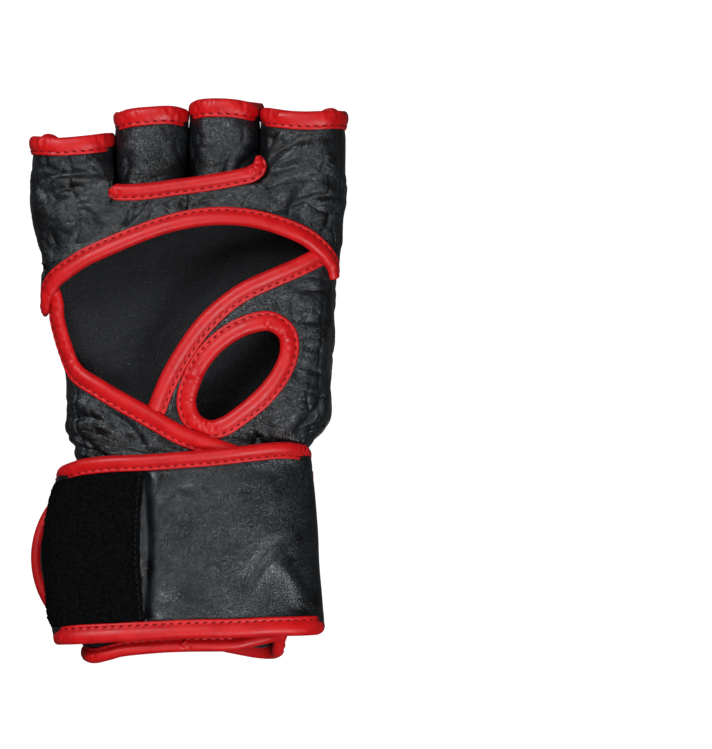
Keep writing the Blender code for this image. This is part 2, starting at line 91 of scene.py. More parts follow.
# centrelines of the bindings, seen from above: (x, y)
PALM_ARC = ((-55.4, 27.6), (-56.0, 31.4), (-55.0, 36.0), (-51.4, 41.8), (-42.6, 48.4), (-34.6, 52.4),
    (-18.6, 59.2), (-2.6, 64.4), (13.4, 66.2), (29.4, 64.8), (45.4, 59.2), (54.0, 53.2), (58.4, 47.6),
    (59.4, 42.0))
FINGER_SLOT = ((-30.6, 77.4), (-28.6, 76.2), (-24.6, 75.9), (-14.6, 76.4), (-2.6, 78), (9.4, 79.6),
    (21.4, 81.6), (26.6, 83.2), (29.4, 86.2), (28.8, 90.6))
HEEL_EDGE = ((-54.8, 37.0), (-53.2, 31.8), (-52.0, 24.8), (-49.2, 14.8), (-44.4, 4), (-34.6, -2.8),
    (-26.6, -7.6), (-18.6, -12), (-10.6, -16.4), (-2.6, -20.8), (5.4, -24.2), (13.4, -27.2), (24.4, -31.0))
THUMB_EDGE = ((54.4, 50.6), (45.4, 46.4), (33.4, 41.2), (23.4, 36.4), (14.2, 29.6), (5.4, 20.8),
    (-1.4, 11.2), (-6.6, 1.6), (-10.6, -7.2), (-13.0, -13.4))
THUMB_HOLE = ((1.4, 0), (5.4, 8), (11.4, 14.8), (19.4, 20.4), (27.4, 23.6), (34.2, 24), (40.2, 19.6),
    (41.2, 11.6), (37.8, 2.8), (31.4, -5.2), (23.4, -12), (15.4, -17.6), (8.6, -19.2), (2.2, -15.6),
    (-0.4, -8))
THUMB_CENTRE = np.array((20.5, 2.0))
ARC_WIDTH, SLOT_WIDTH, HEEL_WIDTH, THUMB_WIDTH, HOLE_WIDTH = 7.4, 6.8, 7.9, 7.8, 8.0
SEAM_INSET = 4.6         # the side seams lie this far inside the outline
PANEL_END_Y = -35.5      # the palm panels and the back end here, under the strap
PANEL_THICKNESS = 1.3
LINE_STEP = 0.8          # spacing of the points along a drawn line
SECTION_STEPS = 1440     # columns round a hull's section

# ---------------------------------------------------------------- numeric helpers


def running_length(line):
    """The length of a polyline from its start to each of its points."""
    return np.concatenate([[0], np.cumsum(np.linalg.norm(np.diff(line, axis=0), axis=1))])


def at_lengths(line, lengths, at):
    """Rows read off a polyline, whose points have these lengths, at other lengths."""
    return np.column_stack([np.interp(at, lengths, column) for column in line.T])


def hump(value, half):
    """1 where value is 0, falling smoothly to 0 on both sides."""
    return np.exp(-(value / half) ** 2)


def curve_points(points, spacing=LINE_STEP, closed=False):
    """Evenly spaced points on a Catmull-Rom curve through the given ones."""
    knots = np.array(points, float)
    count = len(knots)
    spans = count if closed else count - 1
    t = np.linspace(0, 1, 16, endpoint=False)[:, None]
    fine = []
    for i in range(spans):
        if closed:
            p = [knots[(i + k) % count] for k in (-1, 0, 1, 2)]
        else:
            p = [knots[min(max(i + k, 0), count - 1)] for k in (-1, 0, 1, 2)]
        fine.append(0.5 * (2 * p[1] + (p[2] - p[0]) * t + (2 * p[0] - 5 * p[1] + 4 * p[2] - p[3]) * t ** 2
                           + (3 * p[1] - p[0] - 3 * p[2] + p[3]) * t ** 3))
    fine.append(knots[:1] if closed else knots[-1:])
    fine = np.vstack(fine)
    lengths = running_length(fine)
    number = max(3, int(round(lengths[-1] / spacing)))
    at = np.linspace(0, lengths[-1], number + 1)
    if closed:
        at = at[:-1]
    return at_lengths(fine, lengths, at)


def resampled(line, number):
    """A polyline's points at number equal steps of its length."""
    lengths = running_length(line)
    return at_lengths(line, lengths, np.linspace(0, lengths[-1], number))


def smooth_table(table):
    """A smooth function of y through the (y, value) rows."""
    curve = curve_points(table)
    order = np.argsort(curve[:, 0])
    return lambda y: np.interp(y, curve[order, 0], curve[order, 1])


def smooth_step(value, low, high):
    t = np.clip((value - low) / (high - low), 0, 1)
    return t * t * (3 - 2 * t)


def noise(points, size, seed):
    """Gradient noise, about -0.6 to 0.6, the same on every run."""
    p = points / size + seed * 13.7
    cell = np.floor(p).astype(np.int64)
    f = p - cell
    blend = f * f * f * (f * (f * 6 - 15) + 10)
    total = np.zeros(points.shape[:-1])
    for corner in range(8):
        bits = np.array([corner & 1, corner >> 1 & 1, corner >> 2 & 1])
        c = cell + bits
        key = (c[..., 0] * 73856093) ^ (c[..., 1] * 19349663) ^ (c[..., 2] * 83492791) ^ (seed * 26544357)
        key = (key ^ (key >> 13)) * 1274126177 & 0x7FFFFFFF
        away = f - bits
        slope = 0
        for axis in range(3):
            part = (key >> (axis * 8)) & 0xFF
            slope = slope + (part / 127.5 - 1) * away[..., axis]
        weight = np.prod(np.where(bits, blend, 1 - blend), axis=-1)
        total += slope * weight
    return total


def ridge(points, size, seed):
    """1 along winding lines, falling to 0 between them."""
    return np.clip(1 - np.abs(noise(points, size, seed)) * 5.0, 0, 1)


def gentle_leather(points, amount=1.0):
    """Relief of soft garment leather: broad swells, folds and fine creases, in mm."""
    warp = np.stack([noise(points, 16, 31 + k) for k in range(3)], -1) * 9
    broad = noise(points, 21, 3) * 1.9 + noise(points + warp, 9.5, 4) * 1.05
    folds = ridge(points + warp, 15, 5) ** 2 * -0.85
    long = (points + warp * 0.7) * np.array((0.5, 1.25, 1.0))
    creases = ridge(long, 7.0, 6) ** 2 * -0.28
    fine = noise(long, 2.6, 7) * 0.15 + ridge(long, 3.6, 8) ** 3 * -0.10
    return amount * (broad + folds + creases + fine)


def crease_relief(flat, lines):
    """Folds drawn along given lines: each line is (x0, y0, x1, y1, half width, height)."""
    x, y = flat[..., 0], flat[..., 1]
    total = np.zeros_like(x)
    for x0, y0, x1, y1, half, height in lines:
        dx, dy = x1 - x0, y1 - y0
        length = (dx * dx + dy * dy) ** 0.5
        along = ((x - x0) * dx + (y - y0) * dy) / length
        bow = np.sin(np.clip(along / length, 0, 1) * pi) * 0.08 * length
        across = ((y - y0) * dx - (x - x0) * dy) / length - bow
        fade = smooth_step(along, -0.1 * length, 0.3 * length) * smooth_step(-along, -1.1 * length, -0.7 * length)
        total += height * fade * hump(across, half)
    return total


def calm(flat, lines, half):
    """0 under a binding, rising to 1 a few millimetres beside it, so that the leather lies flat there."""
    places = flat[..., :2].reshape(-1, 1, 2)
    nearest = np.full(len(places), 99.0)
    for points in lines:
        line = curve_points(points, 1.2)[None]
        nearest = np.minimum(nearest, np.sqrt(((places - line) ** 2).sum(-1)).min(1))
    return smooth_step(nearest, half * 0.8, half * 1.9).reshape(flat.shape[:-1])


# ---------------------------------------------------------------- hulls


class Hull:
    """A rounded section that changes along y; top and bottom are its heights."""

    def __init__(self, left, right, bottom, top, power, y_low, y_high, floor=None, step=1.0):
        self.y = np.arange(y_low, y_high + step, step)
        angles = pi / 2 - np.linspace(0, 2 * pi, 2 * SECTION_STEPS + 1)
        share = np.linspace(0, 1, SECTION_STEPS + 1)
        self.share = share
        self.x, self.z, self.length = [], [], []
        for y in self.y:
            half_x, half_z = (right(y) - left(y)) / 2, (top(y) - bottom(y)) / 2
            c, s = np.cos(angles), np.sin(angles)
            x = np.sign(c) * np.abs(c) ** (2 / power) * half_x + (right(y) + left(y)) / 2
            z = np.sign(s) * np.abs(s) ** (2 / power) * half_z + (top(y) + bottom(y)) / 2
            if floor is not None:
                z = np.maximum(z, floor)
            way = np.concatenate([[0], np.cumsum(np.hypot(np.diff(x), np.diff(z)))])
            self.length.append(way[-1])
            self.x.append(np.interp(share * way[-1], way, x))
            self.z.append(np.interp(share * way[-1], way, z))
        self.x, self.z, self.length = np.array(self.x), np.array(self.z), np.array(self.length)

    def around(self, y):
        return np.interp(y, self.y, self.length)

    def _read(self, table, share, row):
        column = (share % 1.0) * SECTION_STEPS
        c0 = np.clip(np.floor(column).astype(int), 0, SECTION_STEPS - 1)
        r0 = np.clip(np.floor(row).astype(int), 0, len(self.y) - 2)
        fc, fr = column - c0, np.clip(row - r0, 0, 1)
        low = table[r0, c0] * (1 - fc) + table[r0, c0 + 1] * fc
        high = table[r0 + 1, c0] * (1 - fc) + table[r0 + 1, c0 + 1] * fc
        return low * (1 - fr) + high * fr

    def place(self, q, y, lift=0.0):
        """Points (n..., 3) on the hull, and its outward normals."""
        q, y = np.broadcast_arrays(np.asarray(q, float), np.asarray(y, float))
        row = (y - self.y[0]) / (self.y[1] - self.y[0])
        share = q / self.around(y)
        step = 1.2 / self.around(y)
        x, z = self._read(self.x, share, row), self._read(self.z, share, row)
        dx = self._read(self.x, share + step, row) - self._read(self.x, share - step, row)
        dz = self._read(self.z, share + step, row) - self._read(self.z, share - step, row)
        size = np.hypot(dx, dz) + 1e-9
        nx, nz = -dz / size, dx / size
        lift = np.asarray(lift, float)
        points = np.stack([x + nx * lift, y, z + nz * lift], -1)
        return points, np.stack([nx, np.zeros_like(nx), nz], -1)

    def q_at(self, x, y):
        """q of the point above (x, y) on the upper half."""
        result = []
        for one_x, one_y in zip(np.atleast_1d(x), np.atleast_1d(y)):
            row = int(round((one_y - self.y[0]) / (self.y[1] - self.y[0])))
            row = min(max(row, 0), len(self.y) - 1)
            quarter = SECTION_STEPS // 4 + 1
            right_x, left_x = self.x[row, :quarter], self.x[row, -quarter:]
            if one_x >= self.x[row, 0]:
                share = np.interp(one_x, right_x, self.share[:quarter])
            else:
                share = np.interp(one_x, left_x, self.share[-quarter:]) - 1
            result.append(share * self.length[row])
        return np.array(result)

    def line(self, points):
        """Plan points (x, y) as (q, y)."""
        points = np.asarray(points, float)
        return np.column_stack([self.q_at(points[:, 0], points[:, 1]), points[:, 1]])

    def side(self, y, sign):
        """q half way down the side wall: sign is -1 on the left and 1 on the right."""
        return sign * self.around(y) * SIDE_SHARE


def constant(value):
    return lambda y: value


SIDE_SHARE = 0.272       # half way down a side wall, as a share of the way round
HAND = Hull(smooth_table(HAND_LEFT), smooth_table(HAND_RIGHT), constant(-1.2), smooth_table(PALM_HEIGHT),
            3.6, -38, 104, floor=0.0)

# ---------------------------------------------------------------- pieces of mesh


def mesh_piece(name, points, material, wrap_rows=False, wrap_columns=False, caps=False):
    """A grid (rows, columns, 3) as a mesh; rows run along the piece, columns across it."""
    rows, columns = points.shape[:2]
    index = np.arange(rows * columns).reshape(rows, columns)
    i = np.arange(rows if wrap_rows else rows - 1)
    j = np.arange(columns if wrap_columns else columns - 1)
    i, j = np.meshgrid(i, j, indexing="ij")
    i2, j2 = (i + 1) % rows, (j + 1) % columns
    faces = np.stack([index[i, j], index[i, j2], index[i2, j2], index[i2, j]], -1).reshape(-1, 4).tolist()
    if caps:
        faces += [index[0, ::-1].tolist(), index[-1].tolist()]
    return mesh_from(name, points.reshape(-1, 3), faces, material)


def mesh_from(name, vertices, faces, material):
    mesh = bpy.data.meshes.new(name)
    mesh.from_pydata((np.asarray(vertices) * MM).tolist(), [], faces)
    mesh.validate()
    mesh.shade_smooth()
    mesh.materials.append(material)
    piece = bpy.data.objects.new(name, mesh)
    bpy.context.scene.collection.objects.link(piece)
    return piece


def thicken(piece, thickness):
    """Gives an open surface its leather's thickness, below its outer face."""
    solidify = piece.modifiers.new("Thickness", "SOLIDIFY")
    solidify.thickness = thickness * MM
    solidify.offset = -1.0
    solidify.use_even_offset = False
    return piece


def smooth(piece, levels=1):
    subdivide = piece.modifiers.new("Smooth", "SUBSURF")
    subdivide.levels = levels
    subdivide.render_levels = levels
    return piece


def between(edge_a, edge_b, across, along):
    """A grid (across, along, 2) of (q, y) between two lines."""
    a, b = resampled(edge_a, along), resampled(edge_b, along)
    share = np.linspace(0, 1, across)[:, None, None]
    return a[None] * (1 - share) + b[None] * share


# ---------------------------------------------------------------- materials
class Nodes:
    """Shorthand for building one node tree."""

    def __init__(self, name):
        self.material = bpy.data.materials.new(name)
        self.material.use_nodes = True
        self.tree = self.material.node_tree
        self.shader = self.tree.nodes["Principled BSDF"]
        self.where = self.add("ShaderNodeTexCoord").outputs["Object"]

    def add(self, kind, inputs=None, **settings):
        node = self.tree.nodes.new(kind)
        for key, value in settings.items():
            setattr(node, key, value)
        for key, value in (inputs or {}).items():
            if isinstance(value, bpy.types.NodeSocket):
                self.tree.links.new(value, node.inputs[key])
            else:
                node.inputs[key].default_value = value
        return node

    def noise(self, size_mm, detail=2.0, vector=None, **inputs):
        node = self.add("ShaderNodeTexNoise", {"Vector": vector or self.where, "Scale": 1 / (size_mm * MM),
                                               "Detail": detail, **inputs})
        return node.outputs["Fac"]

    def cells(self, size_mm, feature="DISTANCE_TO_EDGE", vector=None):
        node = self.add("ShaderNodeTexVoronoi", {"Vector": vector or self.where, "Scale": 1 / (size_mm * MM)},
                        feature=feature)
        return node.outputs["Distance"]

    def remap(self, value, low, high, to_low, to_high):
        node = self.add("ShaderNodeMapRange", {"Value": value, "From Min": low, "From Max": high,
                                               "To Min": to_low, "To Max": to_high})
        return node.outputs["Result"]

    def math(self, operation, a, b=0.0):
        node = self.add("ShaderNodeMath", {0: a, 1: b}, operation=operation)
        return node.outputs["Value"]

    def mix(self, share, a, b):
        node = self.add("ShaderNodeMix", {0: share, 6: a, 7: b}, data_type="RGBA")
        return node.outputs[2]

    def bump(self, height, distance_mm, strength=1.0, normal=None):
        inputs = {"Height": height, "Distance": distance_mm * MM, "Strength": strength}
        if normal is not None:
            inputs["Normal"] = normal
        return self.add("ShaderNodeBump", inputs).outputs["Normal"]

    def set(self, **sockets):
        for key, value in sockets.items():
            name = key.replace("_", " ")
            if isinstance(value, bpy.types.NodeSocket):
                self.tree.links.new(value, self.shader.inputs[name])
            else:
                self.shader.inputs[name].default_value = value
        return self.material


def leather_material(name="black_leather", grain_strength=0.7, pucker=0.34):
    """Soft black garment leather: pebbled grain, fine creases, and speckled grey-blue blotches of painted highlight
    in its colour.
    """
    n = Nodes(name)
    warp = n.add("ShaderNodeVectorMath", {0: n.where, 1: n.add("ShaderNodeVectorMath", {
        0: n.add("ShaderNodeTexNoise", {"Vector": n.where, "Scale": 260.0, "Detail": 2.0}).outputs["Color"],
        "Scale": 0.0022}, operation="SCALE").outputs["Vector"]}, operation="ADD").outputs["Vector"]
    grain = n.cells(0.62, vector=warp)
    pebbles = n.remap(grain, 0.0, 0.22, 0.0, 1.0)
    crackle = n.remap(n.cells(2.7, vector=warp), 0.0, 0.10, 0.0, 1.0)
    soft = n.noise(1.5, 3.0)
    patches = n.noise(13.0, 3.0)
    speckle = n.remap(n.noise(0.55, 3.0, warp), 0.44, 0.60, 0.0, 1.0)
    # painted highlights: grey-blue blotches with a fine speckle, mixed into the base colour to stand in for the
    # sheen of light on the leather
    painted_highlights = n.math("MULTIPLY", n.remap(patches, 0.38, 0.66, 0.0, 1.0), speckle)
    colour = n.mix(painted_highlights, (0.0020, 0.0021, 0.0026, 1), (0.026, 0.031, 0.037, 1))
    normal = n.bump(pebbles, 0.10, grain_strength)
    normal = n.bump(crackle, 0.05, 0.4, normal)
    normal = n.bump(n.noise(0.5, 2.0), 0.16, 0.9 * grain_strength, normal)
    normal = n.bump(soft, pucker, 0.8, normal)
    sheen = n.bump(soft, pucker, 0.8, n.bump(pebbles, 0.06, grain_strength))
    roughness = n.remap(n.math("ADD", n.math("MULTIPLY", patches, 0.6), n.math("MULTIPLY", soft, 0.4)),
                        0.3, 0.7, 0.25, 0.38)
    return n.set(Base_Color=colour, Roughness=roughness, Normal=normal, Specular_IOR_Level=0.32,
                 Coat_Weight=0.36, Coat_Roughness=0.20, Coat_Normal=sheen)


def binding_material():
    """Smooth red leather binding with a satin face and faint grain."""
    n = Nodes("red_binding")
    soft, fine = n.noise(6.0, 2.0), n.noise(0.45, 2.0)
    colour = n.mix(n.remap(soft, 0.35, 0.65, 0.0, 1.0), (0.57, 0.004, 0.006, 1), (0.66, 0.007, 0.009, 1))
    normal = n.bump(fine, 0.05, 0.5)
    normal = n.bump(n.noise(2.6, 2.0), 0.10, 0.5, normal)
    return n.set(Base_Color=colour, Roughness=n.remap(soft, 0.3, 0.7, 0.38, 0.50), Normal=normal,
                 Specular_IOR_Level=0.36)


def thread_material(name, dark, light):
    n = Nodes(name)
    twist = n.noise(0.25, 1.0)
    return n.set(Base_Color=n.mix(twist, dark, light), Roughness=0.8, Normal=n.bump(twist, 0.1, 0.6),
                 Specular_IOR_Level=0.15)


def twill_material():
    """Black polyester twill: fine diagonal ribs, with glints of light on single threads painted into its colour."""
    n = Nodes("black_twill")
    ribs = n.add("ShaderNodeTexWave", {"Vector": n.where, "Scale": 0.444 / (0.62 * MM), "Distortion": 0.9,
                                       "Detail": 2.0, "Detail Scale": 3.0},
                 wave_type="BANDS", bands_direction="DIAGONAL").outputs["Fac"]
    threads = n.noise(0.33, 2.0)
    # painted glints: single threads made lighter in colour where light would catch them on the ribs
    painted_glints = n.math("MULTIPLY", n.remap(threads, 0.58, 0.72, 0.0, 1.0), ribs)
    colour = n.mix(painted_glints, (0.0085, 0.0088, 0.0100, 1), (0.13, 0.135, 0.15, 1))
    normal = n.bump(ribs, 0.16, 0.8)
    normal = n.bump(threads, 0.12, 0.6, normal)
    return n.set(Base_Color=colour, Roughness=0.82, Normal=normal, Specular_IOR_Level=0.3,
                 Sheen_Weight=0.12, Sheen_Roughness=0.5)


def loop_material():
    """Brushed black loop pile, which hardly reflects."""
    n = Nodes("loop_pile")
    tufts, fibres = n.noise(1.3, 3.0), n.noise(0.22, 2.0)
    colour = n.mix(n.remap(tufts, 0.4, 0.75, 0.0, 1.0), (0.0015, 0.0015, 0.0017, 1), (0.0060, 0.0060, 0.0066, 1))
    normal = n.bump(fibres, 0.35, 0.9)
    normal = n.bump(tufts, 0.7, 0.8, normal)
    return n.set(Base_Color=colour, Roughness=0.95, Normal=normal, Specular_IOR_Level=0.06)


def hook_material():
    n = Nodes("hook_tape")
    hooks = n.cells(1.1, feature="F1")
    colour = n.mix(n.remap(hooks, 0.1, 0.5, 0.0, 1.0), (0.03, 0.03, 0.032, 1), (0.004, 0.004, 0.004, 1))
    return n.set(Base_Color=colour, Roughness=0.55, Normal=n.bump(hooks, 0.6, 1.0))


LEATHER, BINDING, TWILL = leather_material(), binding_material(), twill_material()
LEATHER_SMOOTH = leather_material("smooth_black_leather", 0.5, 0.14)
LOOP, HOOK = loop_material(), hook_material()
RED_THREAD = thread_material("red_thread", (0.17, 0.003, 0.005, 1), (0.30, 0.007, 0.009, 1))
BLACK_THREAD = thread_material("black_thread", (0.004, 0.004, 0.004, 1), (0.022, 0.022, 0.024, 1))

# ---------------------------------------------------------------- bindings and stitches
# Across a binding, from the stitched flange to the rolled free edge: (share of half width, height)
BINDING_TOP = ((-1.0, -0.25), (-0.975, 0.30), (-0.86, 0.66), (-0.73, 0.74), (-0.62, 0.52), (-0.50, 0.80),
    (-0.30, 1.42), (-0.04, 1.92), (0.26, 2.12), (0.54, 1.94), (0.78, 1.36), (0.93, 0.50), (1.0, -0.50))
STITCH_AT = -0.62
STITCH_PITCH = 3.3


def directions(line, closed):
    if closed:
        step = np.roll(line, -1, axis=0) - np.roll(line, 1, axis=0)
    else:
        step = np.gradient(line, axis=0)
    return step / (np.linalg.norm(step, axis=1, keepdims=True) + 1e-9)


def along_length(line, closed):
    lengths = running_length(np.vstack([line, line[:1]]) if closed else line)
    return (lengths[:-1], lengths[-1]) if closed else (lengths, lengths[-1])


def stitches(name, line, up, body, closed=False, pitch=STITCH_PITCH, thread=0.33, share=0.62,
             material=None):
    """Thread capsules in a row along a line, their ends diving into the leather."""
    lengths, total = along_length(line, closed)
    if closed:
        lengths, line, up = np.append(lengths, total), np.vstack([line, line[:1]]), np.vstack([up, up[:1]])
    count = max(1, int(total / pitch))
    pitch = total / count
    sides, rings = 6, 6
    turns = np.linspace(0, 2 * pi, sides, endpoint=False)
    vertices, faces = [], []
    for k in range(count):
        steps = np.linspace(-0.5, 0.5, rings)
        at = (k + 0.5 + steps * share) * pitch
        centre, raised = at_lengths(line, lengths, at), at_lengths(up, lengths, at)
        along = directions(centre, False)
        aside = np.cross(along, raised)
        centre = centre + raised * (np.cos(steps * pi) * 0.30 - 0.12)[:, None]
        radius = thread * np.sqrt(np.clip(1 - (steps * 1.9) ** 4, 0.12, 1))
        ring = centre[:, None] + radius[:, None, None] * (
            np.cos(turns)[None, :, None] * aside[:, None] + np.sin(turns)[None, :, None] * raised[:, None])
        base = len(vertices) * rings * sides
        vertices.append(ring.reshape(-1, 3))
        for i in range(rings - 1):
            for j in range(sides):
                a, b = base + i * sides + j, base + i * sides + (j + 1) % sides
                faces.append((a, a + sides, b + sides, b))
        faces.append(tuple(base + j for j in range(sides)))
        faces.append(tuple(base + (rings - 1) * sides + j for j in range(sides))[::-1])
    piece = mesh_from(name, np.vstack(vertices), faces, material or RED_THREAD)
    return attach(piece, body)


def binding(name, line, normals, width, free_side, body, stands_for, closed=False, depth=1.5, pucker=0.12, seed=1,
            joint_at=None, puff=1.0, ends=None):
    """A rolled leather binding along a line, stitched on the side away from free_side."""
    lengths, total = along_length(line, closed)
    along = directions(line, closed)
    aside = np.cross(along, normals) * free_side
    aside /= np.linalg.norm(aside, axis=1, keepdims=True)
    bend = np.linalg.norm(np.gradient(along, axis=0), axis=1)
    spacing = total / len(line)
    tight = smooth_step(np.convolve(bend / spacing, np.ones(7) / 7, "same"), 0.035, 0.11)
    aside_shift = noise(line, 26, 40 + seed)[:, None] * 0.7
    line = line + aside * aside_shift
    profile = list(BINDING_TOP) + [(0.88, -depth), (0.3, -depth - 0.1), (-0.5, -depth - 0.1), (-0.93, -depth * 0.8)]
    u = np.array([p[0] for p in profile])
    h = np.array([p[1] for p in profile])
    on_top = (h > 0.2).astype(float)
    half = width / 2 * (1 + 0.05 * noise(line, 15, 60 + seed))
    height = np.broadcast_to(h, (len(line), len(u))).copy()
    height *= np.where(height > 0, puff, 1.0)
    if ends:
        swell = np.ones(len(line))
        for reach, way in ((ends[0], lengths), (ends[1], total - lengths)):
            swell = np.minimum(swell, np.sqrt(1 - (1 - np.clip(way / reach, 0.02, 1)) ** 2))
        half, height = half * swell, height * (0.25 + 0.75 * swell)[:, None]
    grid = line[:, None] + aside[:, None] * (u[None] * half[:, None])[..., None]
    height *= (1 + 0.10 * noise(line, 12, 70 + seed))[:, None]
    wave = noise(np.column_stack([lengths, lengths * 0, lengths * 0])[:, None] * np.ones((1, len(u), 1))
                 + np.array([0, 1, 0]) * (u * 2.2)[None, :, None], 1.5, 80 + seed)
    roll = hump(u - 0.35, 0.62)[None]
    height += on_top[None] * wave * (pucker + 1.3 * tight[:, None]) * roll
    tucks = ridge(np.column_stack([lengths, lengths * 0, lengths * 0])[:, None] + np.array([0, 1, 0])
                  * (u * 1.1)[None, :, None], 2.6, 85 + seed) ** 2
    height -= on_top[None] * tucks * 0.85 * tight[:, None] * roll
    pulled = hump(u - STITCH_AT, 0.16)[None]
    number = max(1, int(total / STITCH_PITCH))
    beat = np.cos(2 * pi * lengths / (total / number))[:, None]
    height -= on_top[None] * pulled * (0.08 + 0.16 * beat)
    if joint_at is not None:
        seam = hump(lengths - joint_at, 0.45)[:, None]
        height -= on_top[None] * seam * 0.55
        height += on_top[None] * hump(lengths - joint_at - 1.6, 1.3)[:, None] * 0.35
    grid = grid + normals[:, None] * height[..., None]
    piece = mesh_piece(name, grid[:, ::-1] if free_side < 0 else grid, BINDING,
                       wrap_rows=closed, wrap_columns=True, caps=not closed)
    smooth(piece)
    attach(piece, body)
    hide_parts(stands_for)
    run = line + aside * (STITCH_AT * half)[:, None] + normals * 0.44 * puff
    stitches(name + "_stitches", run, normals, body, closed)


def palm_line(points, closed=False):
    """A smooth plan curve as (q, y) rows on the hand hull."""
    return HAND.line(curve_points(points, closed=closed))


def build_palm_bindings():
    arc = palm_line(PALM_ARC)
    points, normals = HAND.place(arc[:, 0], arc[:, 1])
    ends = 0.4 * smooth_step(-points[:, 0], 44, 54) - 0.7 * smooth_step(points[:, 0], 46, 58)
    points = points + normals * (1.0 + ends)[:, None]
    binding("arc_binding", points, normals, ARC_WIDTH, 1, "glove", "palm_arc_binding", seed=1)

    slot = palm_line(FINGER_SLOT)
    points, normals = HAND.place(slot[:, 0], slot[:, 1])
    tip = smooth_step(points[:, 1], 85, 91)
    points = points + normals * (0.5 - 1.2 * tip)[:, None]
    binding("slot_binding", points, normals, SLOT_WIDTH, -1, "glove", "finger_slot_binding", seed=2,
            ends=(3.0, 9.0))

    heel = palm_line(HEEL_EDGE)
    points, normals = HAND.place(heel[:, 0], heel[:, 1])
    over = smooth_step(points[:, 0], -24, -6)
    under = smooth_step(points[:, 1], 24, 33)
    points = points + normals * (0.2 + 1.2 * over - 0.9 * under)[:, None]
    binding("heel_binding", points, normals, HEEL_WIDTH, -1, "glove", "heel_panel_binding", seed=3)

    edge = palm_line(THUMB_EDGE)
    points, normals = HAND.place(edge[:, 0], edge[:, 1], -0.9)
    binding("thumb_binding", points, normals, THUMB_WIDTH, 1, "glove", "thumb_panel_binding", seed=4)

    hole = palm_line(THUMB_HOLE, closed=True)
    points, normals = HAND.place(hole[:, 0], hole[:, 1], -0.8)
    binding("thumb_hole_rim", points, normals, HOLE_WIDTH, 1, "glove", "thumb_hole_binding", closed=True,
            pucker=0.16, seed=5, joint_at=1.2)


# ---------------------------------------------------------------- fingers
class Finger:
    def __init__(self, name, front, peak_x, power, lean):
        """front is the front rim's middle line, (x, y); peak_x is where the back rim's fold stands up,
        and lean how far the back rim reaches sideways behind its neighbour."""
        self.lean = lean
        self.name, self.body = name, name + "_finger"
        low, high = node_box(name + "_sleeve")
        self.left, self.right, self.bottom, self.top = low[0] - 0.4, high[0] + 0.4, low[2], high[2]
        self.front = smooth_table(front)
        self.peak_x = peak_x
        self.hull = Hull(constant(self.left), constant(self.right), constant(self.bottom),
                         constant(self.top), power, 60, 116)

    def rim_y(self, x, z):
        """y of the rim's middle line: the front edge, and a little further out on the back."""
        back = smooth_step(-z, -(self.top * 0.62), -(self.top * 0.28))
        lift = 0.9
        if self.peak_x is not None:
            lift = 0.9 + 2.6 * hump(x - self.peak_x, 1.7)
        return self.front(x) + back * lift

    def rim_place(self, q):
        """The rim's middle line round the mouth, and its normals."""
        flat, _ = self.hull.place(q, 95 + q * 0)
        line, normals = self.hull.place(q, self.rim_y(flat[:, 0], flat[:, 2]), 0.1)
        line -= normals * (1.1 * normals[:, :1] ** 2)
        line[:, 2] = np.maximum(line[:, 2], 2.5)
        back = smooth_step(-line[:, 2], -self.top * 0.55, -self.top * 0.2)
        line[:, 0] += back * self.lean * smooth_step(np.abs(line[:, 0] - (self.left + self.right) / 2), 6, 13)
        return line, normals


FINGERS = (Finger("pinky", ((-64, 94.9), (-57, 94.4), (-50.6, 94.0), (-42.6, 94.6), (-34.6, 95.6), (-28, 96.6)),
                  -57.0, 3.0, 0),
           Finger("ring", ((-30, 104.4), (-26, 105.2), (-22.6, 105.9), (-14.6, 106.7), (-6.6, 107.0), (1, 106.0)),
                  None, 2.8, -1.6),
           Finger("middle", ((0, 108.8), (5, 109.6), (11.4, 109.9), (19.4, 109.6), (29.6, 107.9)),
                  None, 2.8, 2.6),
           Finger("index", ((29, 106.3), (39.4, 104.9), (47.4, 104.4), (53.4, 104.5), (64.6, 104.9)),
                  57.5, 3.0, 0))


def lobe_height(finger, flat):
    """How far a lobe of the palm band drops onto its finger's own round top as it nears the mouth."""
    x, y, z = flat[..., 0], flat[..., 1], flat[..., 2]
    centre, half = (finger.left + finger.right) / 2, (finger.right - finger.left) / 2
    share = np.clip(np.abs(x - centre) / half, 0, 0.985)
    middle = (finger.top + finger.bottom) / 2
    top = middle + (finger.top - middle - 0.3) * (1 - share ** 3.0) ** (1 / 3.0)
    return np.clip(top - z, -12, 6) * smooth_step(y, 78, 91) * smooth_step(z, 21, 30)


PINKY_CREASES = ((-63, 79.5, -31, 82.0, 1.2, -1.3), (-61, 77.0, -40, 80.0, 2.0, 0.6),
    (-57, 74.5, -37, 77.4, 1.1, -0.8), (-61, 70, -44, 73.0, 1.1, -0.6), (-63, 86, -49, 83.0, 1.2, -0.9),
    (-50.5, 94, -46.5, 84.5, 1.0, -0.9), (-58, 94, -57, 86, 1.1, -0.7), (-44, 94, -36, 86, 0.8, -0.5),
    (-40.5, 94, -33, 87, 0.7, -0.4), (-60, 44, -44, 47.5, 1.1, -0.8), (-58.5, 39, -50, 42.4, 0.9, -0.7),
    (-23.6, 60, -20.5, 71, 1.3, -1.3), (-19, 61, -9, 68.5, 1.0, -0.7), (-21, 62, -14, 70, 1.6, 0.7),
    (-33, 86, -31, 76, 1.4, -0.9), (-48, 60, -32, 70, 4.0, 0.7), (-1.4, 66, -0.4, 74.5, 1.3, -1.1))
